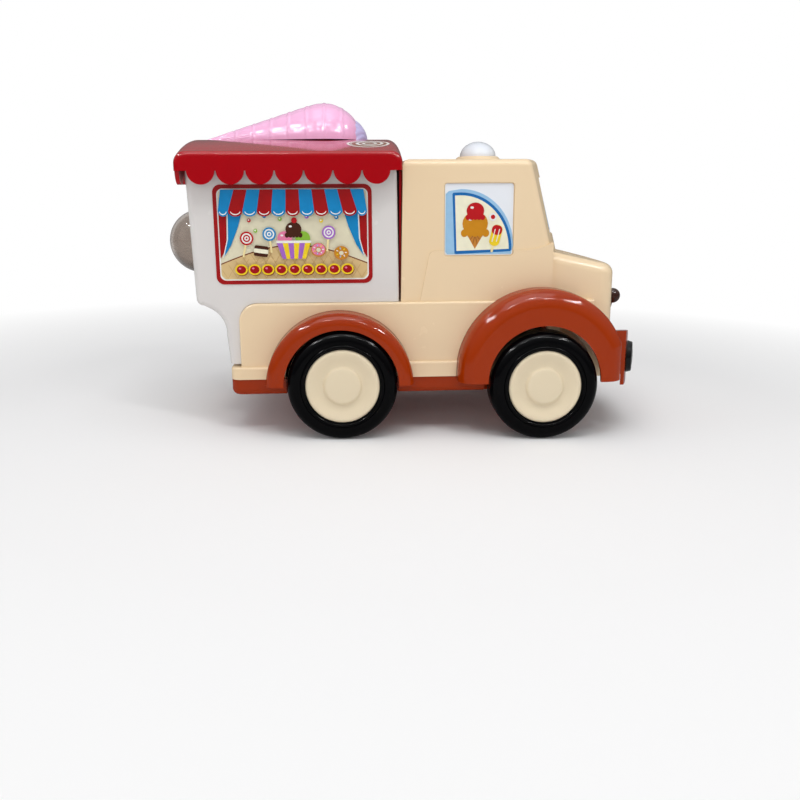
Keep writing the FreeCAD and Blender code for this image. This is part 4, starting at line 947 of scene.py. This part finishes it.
hub_outline = ([(0, -HUB_SKIN), (BOSS, -HUB_SKIN), (BOSS, -WHEEL_WIDTH),
                (BOSS + BOSS_WALL, -WHEEL_WIDTH), (BOSS + BOSS_WALL, -HUB_SKIN),
                (HUB_RADIUS - RIM_WALL, -HUB_SKIN), (HUB_RADIUS - RIM_WALL, -WHEEL_WIDTH),
                (HUB_RADIUS, -WHEEL_WIDTH)] + rim_arc + dish + disc)
tyre_outline = ([(TYRE_SEAT, -WHEEL_WIDTH), (TYRE_BACK, -WHEEL_WIDTH)]
                + arc(TYRE_BACK, HEEL - WHEEL_WIDTH, HEEL, HEEL, -90, 0, 8)
                + arc(TYRE_RADIUS - SHOULDER, -SHOULDER, SHOULDER, SHOULDER, 0, 90, 14)
                + [(20.9, 0.05), (20.4, -0.5), (TYRE_SEAT, -0.5), (TYRE_SEAT, -WHEEL_WIDTH)])
bead = arc(19.9, -0.05, 0.7, 0.45, 0, 360, 12)


def on_wheel(name, outline, material, axle_x, side):
    """An outline turned round one end of an axle."""
    bm = turned(outline)
    bmesh.ops.scale(bm, vec=(1, side, 1), verts=bm.verts)
    bmesh.ops.recalc_face_normals(bm, faces=bm.faces)
    bmesh.ops.translate(bm, vec=(axle_x, side * FACE_Y, axle_z), verts=bm.verts)
    bmesh.ops.scale(bm, vec=(MM, MM, MM), verts=bm.verts)
    return new_object(name, bm, material)


for end, axle_x in (("front", front_axle_x), ("rear", rear_axle_x)):
    for side, hand in ((1, "left"), (-1, "right")):
        for kind, outline, material, slot in (("hub", hub_outline, hub_cream, "hub_plastic"),
                                              ("bead", bead, tyre_black, "tyre_rubber"),
                                              ("tyre", tyre_outline, tyre_black, "tyre_rubber")):
            thing = on_wheel(f"{kind}_{end}_{hand}_face", outline, material, axle_x, side)
            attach(thing, f"{end}_wheelset")
            if kind != "bead":
                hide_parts(f"{kind}_{end}_{hand}")
print("hub:", len(hub_outline), "points in its outline")

# %% [markdown]
# ## Small parts
# The lid has a flange that hangs in front of the box, and the cab's rear wall has
# a little draft, so that the gap between them closes downwards.  Screws hold the
# pan to the body from below.  Each headlamp gets a rim and a ribbed lens.

# %% Small parts
FLANGE, FLANGE_HALF, FLANGE_FOOT, FLANGE_UP = 1.2, 47.0, 68.4, 6
CAB_BACK, LID_GAP, CAB_TOP, WALL_LEAN, WALL_IN = 69.8, 0.3, 124.0, 1.1, 1.0
cab_x = front_axle_x - CAB_BACK
lid_x = cab_x - LID_GAP


def wall_slab(name, low, high, half, material):
    """A slab across the truck; low and high give its rear x, front x and height."""
    bm = bmesh.new()
    corners = [bm.verts.new((x, -half, z)) for back, front, z in (low, high) for x in (back, front)]
    side = bm.faces.new([corners[i] for i in (0, 1, 3, 2)])
    swept = bmesh.ops.extrude_face_region(bm, geom=[side])["geom"]
    moved = [g for g in swept if isinstance(g, bmesh.types.BMVert)]
    bmesh.ops.translate(bm, vec=(0, 2 * half, 0), verts=moved)
    bmesh.ops.recalc_face_normals(bm, faces=bm.faces)
    settle(bm)
    wall = new_object(name, bm, material)
    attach(wall, "truck")


wall_slab("lid_flange", (lid_x - FLANGE, lid_x - WALL_LEAN, FLANGE_FOOT),
          (lid_x - FLANGE, lid_x, roof_low.z + FLANGE_UP), FLANGE_HALF,
          crimson)
wall_slab("cab_back_draft", (cab_x - WALL_LEAN, cab_x + WALL_IN, FLANGE_FOOT - 1.0),
          (cab_x - 0.02, cab_x + WALL_IN, CAB_TOP), CAB_HALF - 0.03,
          cream)

pan_low, pan_high = level_box("chassis")
SCREW_HEAD, SCREW_RISE = 2.6, 0.9
SCREWS = ((-0.36, 30), (-0.36, -30), (0.02, 34), (0.02, -34), (0.36, 16), (0.36, -16))
boss_outline = [(4.2, 0.2), (4.2, -0.5), (3.3, -0.5), (3.3, 0.0), (0, 0.0)]
head_outline = [(SCREW_HEAD, 0.1), (SCREW_HEAD, -0.3), (SCREW_HEAD * 0.7, -SCREW_RISE * 0.8),
                (0, -SCREW_RISE)]
for number, (dx, y) in enumerate(SCREWS):
    x = (pan_low.x + pan_high.x) / 2 + dx * (pan_high.x - pan_low.x)
    for name, outline, material, slot in (("boss", boss_outline, rust, "rust_plastic"),
                                          ("screw", head_outline, steel, "axle_steel")):
        bm = turned(outline, 32)
        upright = Matrix.Rotation(math.pi / 2, 3, "X")
        bmesh.ops.rotate(bm, cent=(0, 0, 0), matrix=upright, verts=bm.verts)
        bmesh.ops.translate(bm, vec=(x, y, pan_low.z), verts=bm.verts)
        settle(bm)
        thing = new_object(f"pan_{name}_{number}", bm, material)
        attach(thing, "truck")

LAMP_RADIUS, LAMP_Y, LAMP_OUT = 7.6, 41.0, 1.2
LENS = ((0, 0.15), (0.4, 0.4), (0.9, 0.4), (1.2, 0.1), (2.4, 0.45), (4.4, 0.7))
lamp_turn = math.degrees(math.asin(LAMP_Y / NOSE_BEND))
lens_outline = ([(0, -0.4), (LAMP_RADIUS, -0.4)]
                + [(LAMP_RADIUS - inside, rise) for inside, rise in LENS] + [(0, 0.8)])
for side, hand in ((1, "left"), (-1, "right")):
    low, high = level_box(f"headlamp_{hand}")
    turn = math.radians(lamp_turn)
    ahead = Vector((math.cos(turn), side * math.sin(turn), 0))
    bm = turned(lens_outline, 64)
    outwards = Matrix.Rotation(math.radians(side * lamp_turn - 90), 3, "Z")
    bmesh.ops.rotate(bm, cent=(0, 0, 0), matrix=outwards, verts=bm.verts)
    bmesh.ops.translate(bm, vec=(low + high) / 2 + ahead * LAMP_OUT, verts=bm.verts)
    settle(bm)
    lens_rim = new_object(f"headlamp_lens_{hand}", bm, black)
    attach(lens_rim, "truck")
print("pan screws at z", round(pan_low.z, 1), "mm")
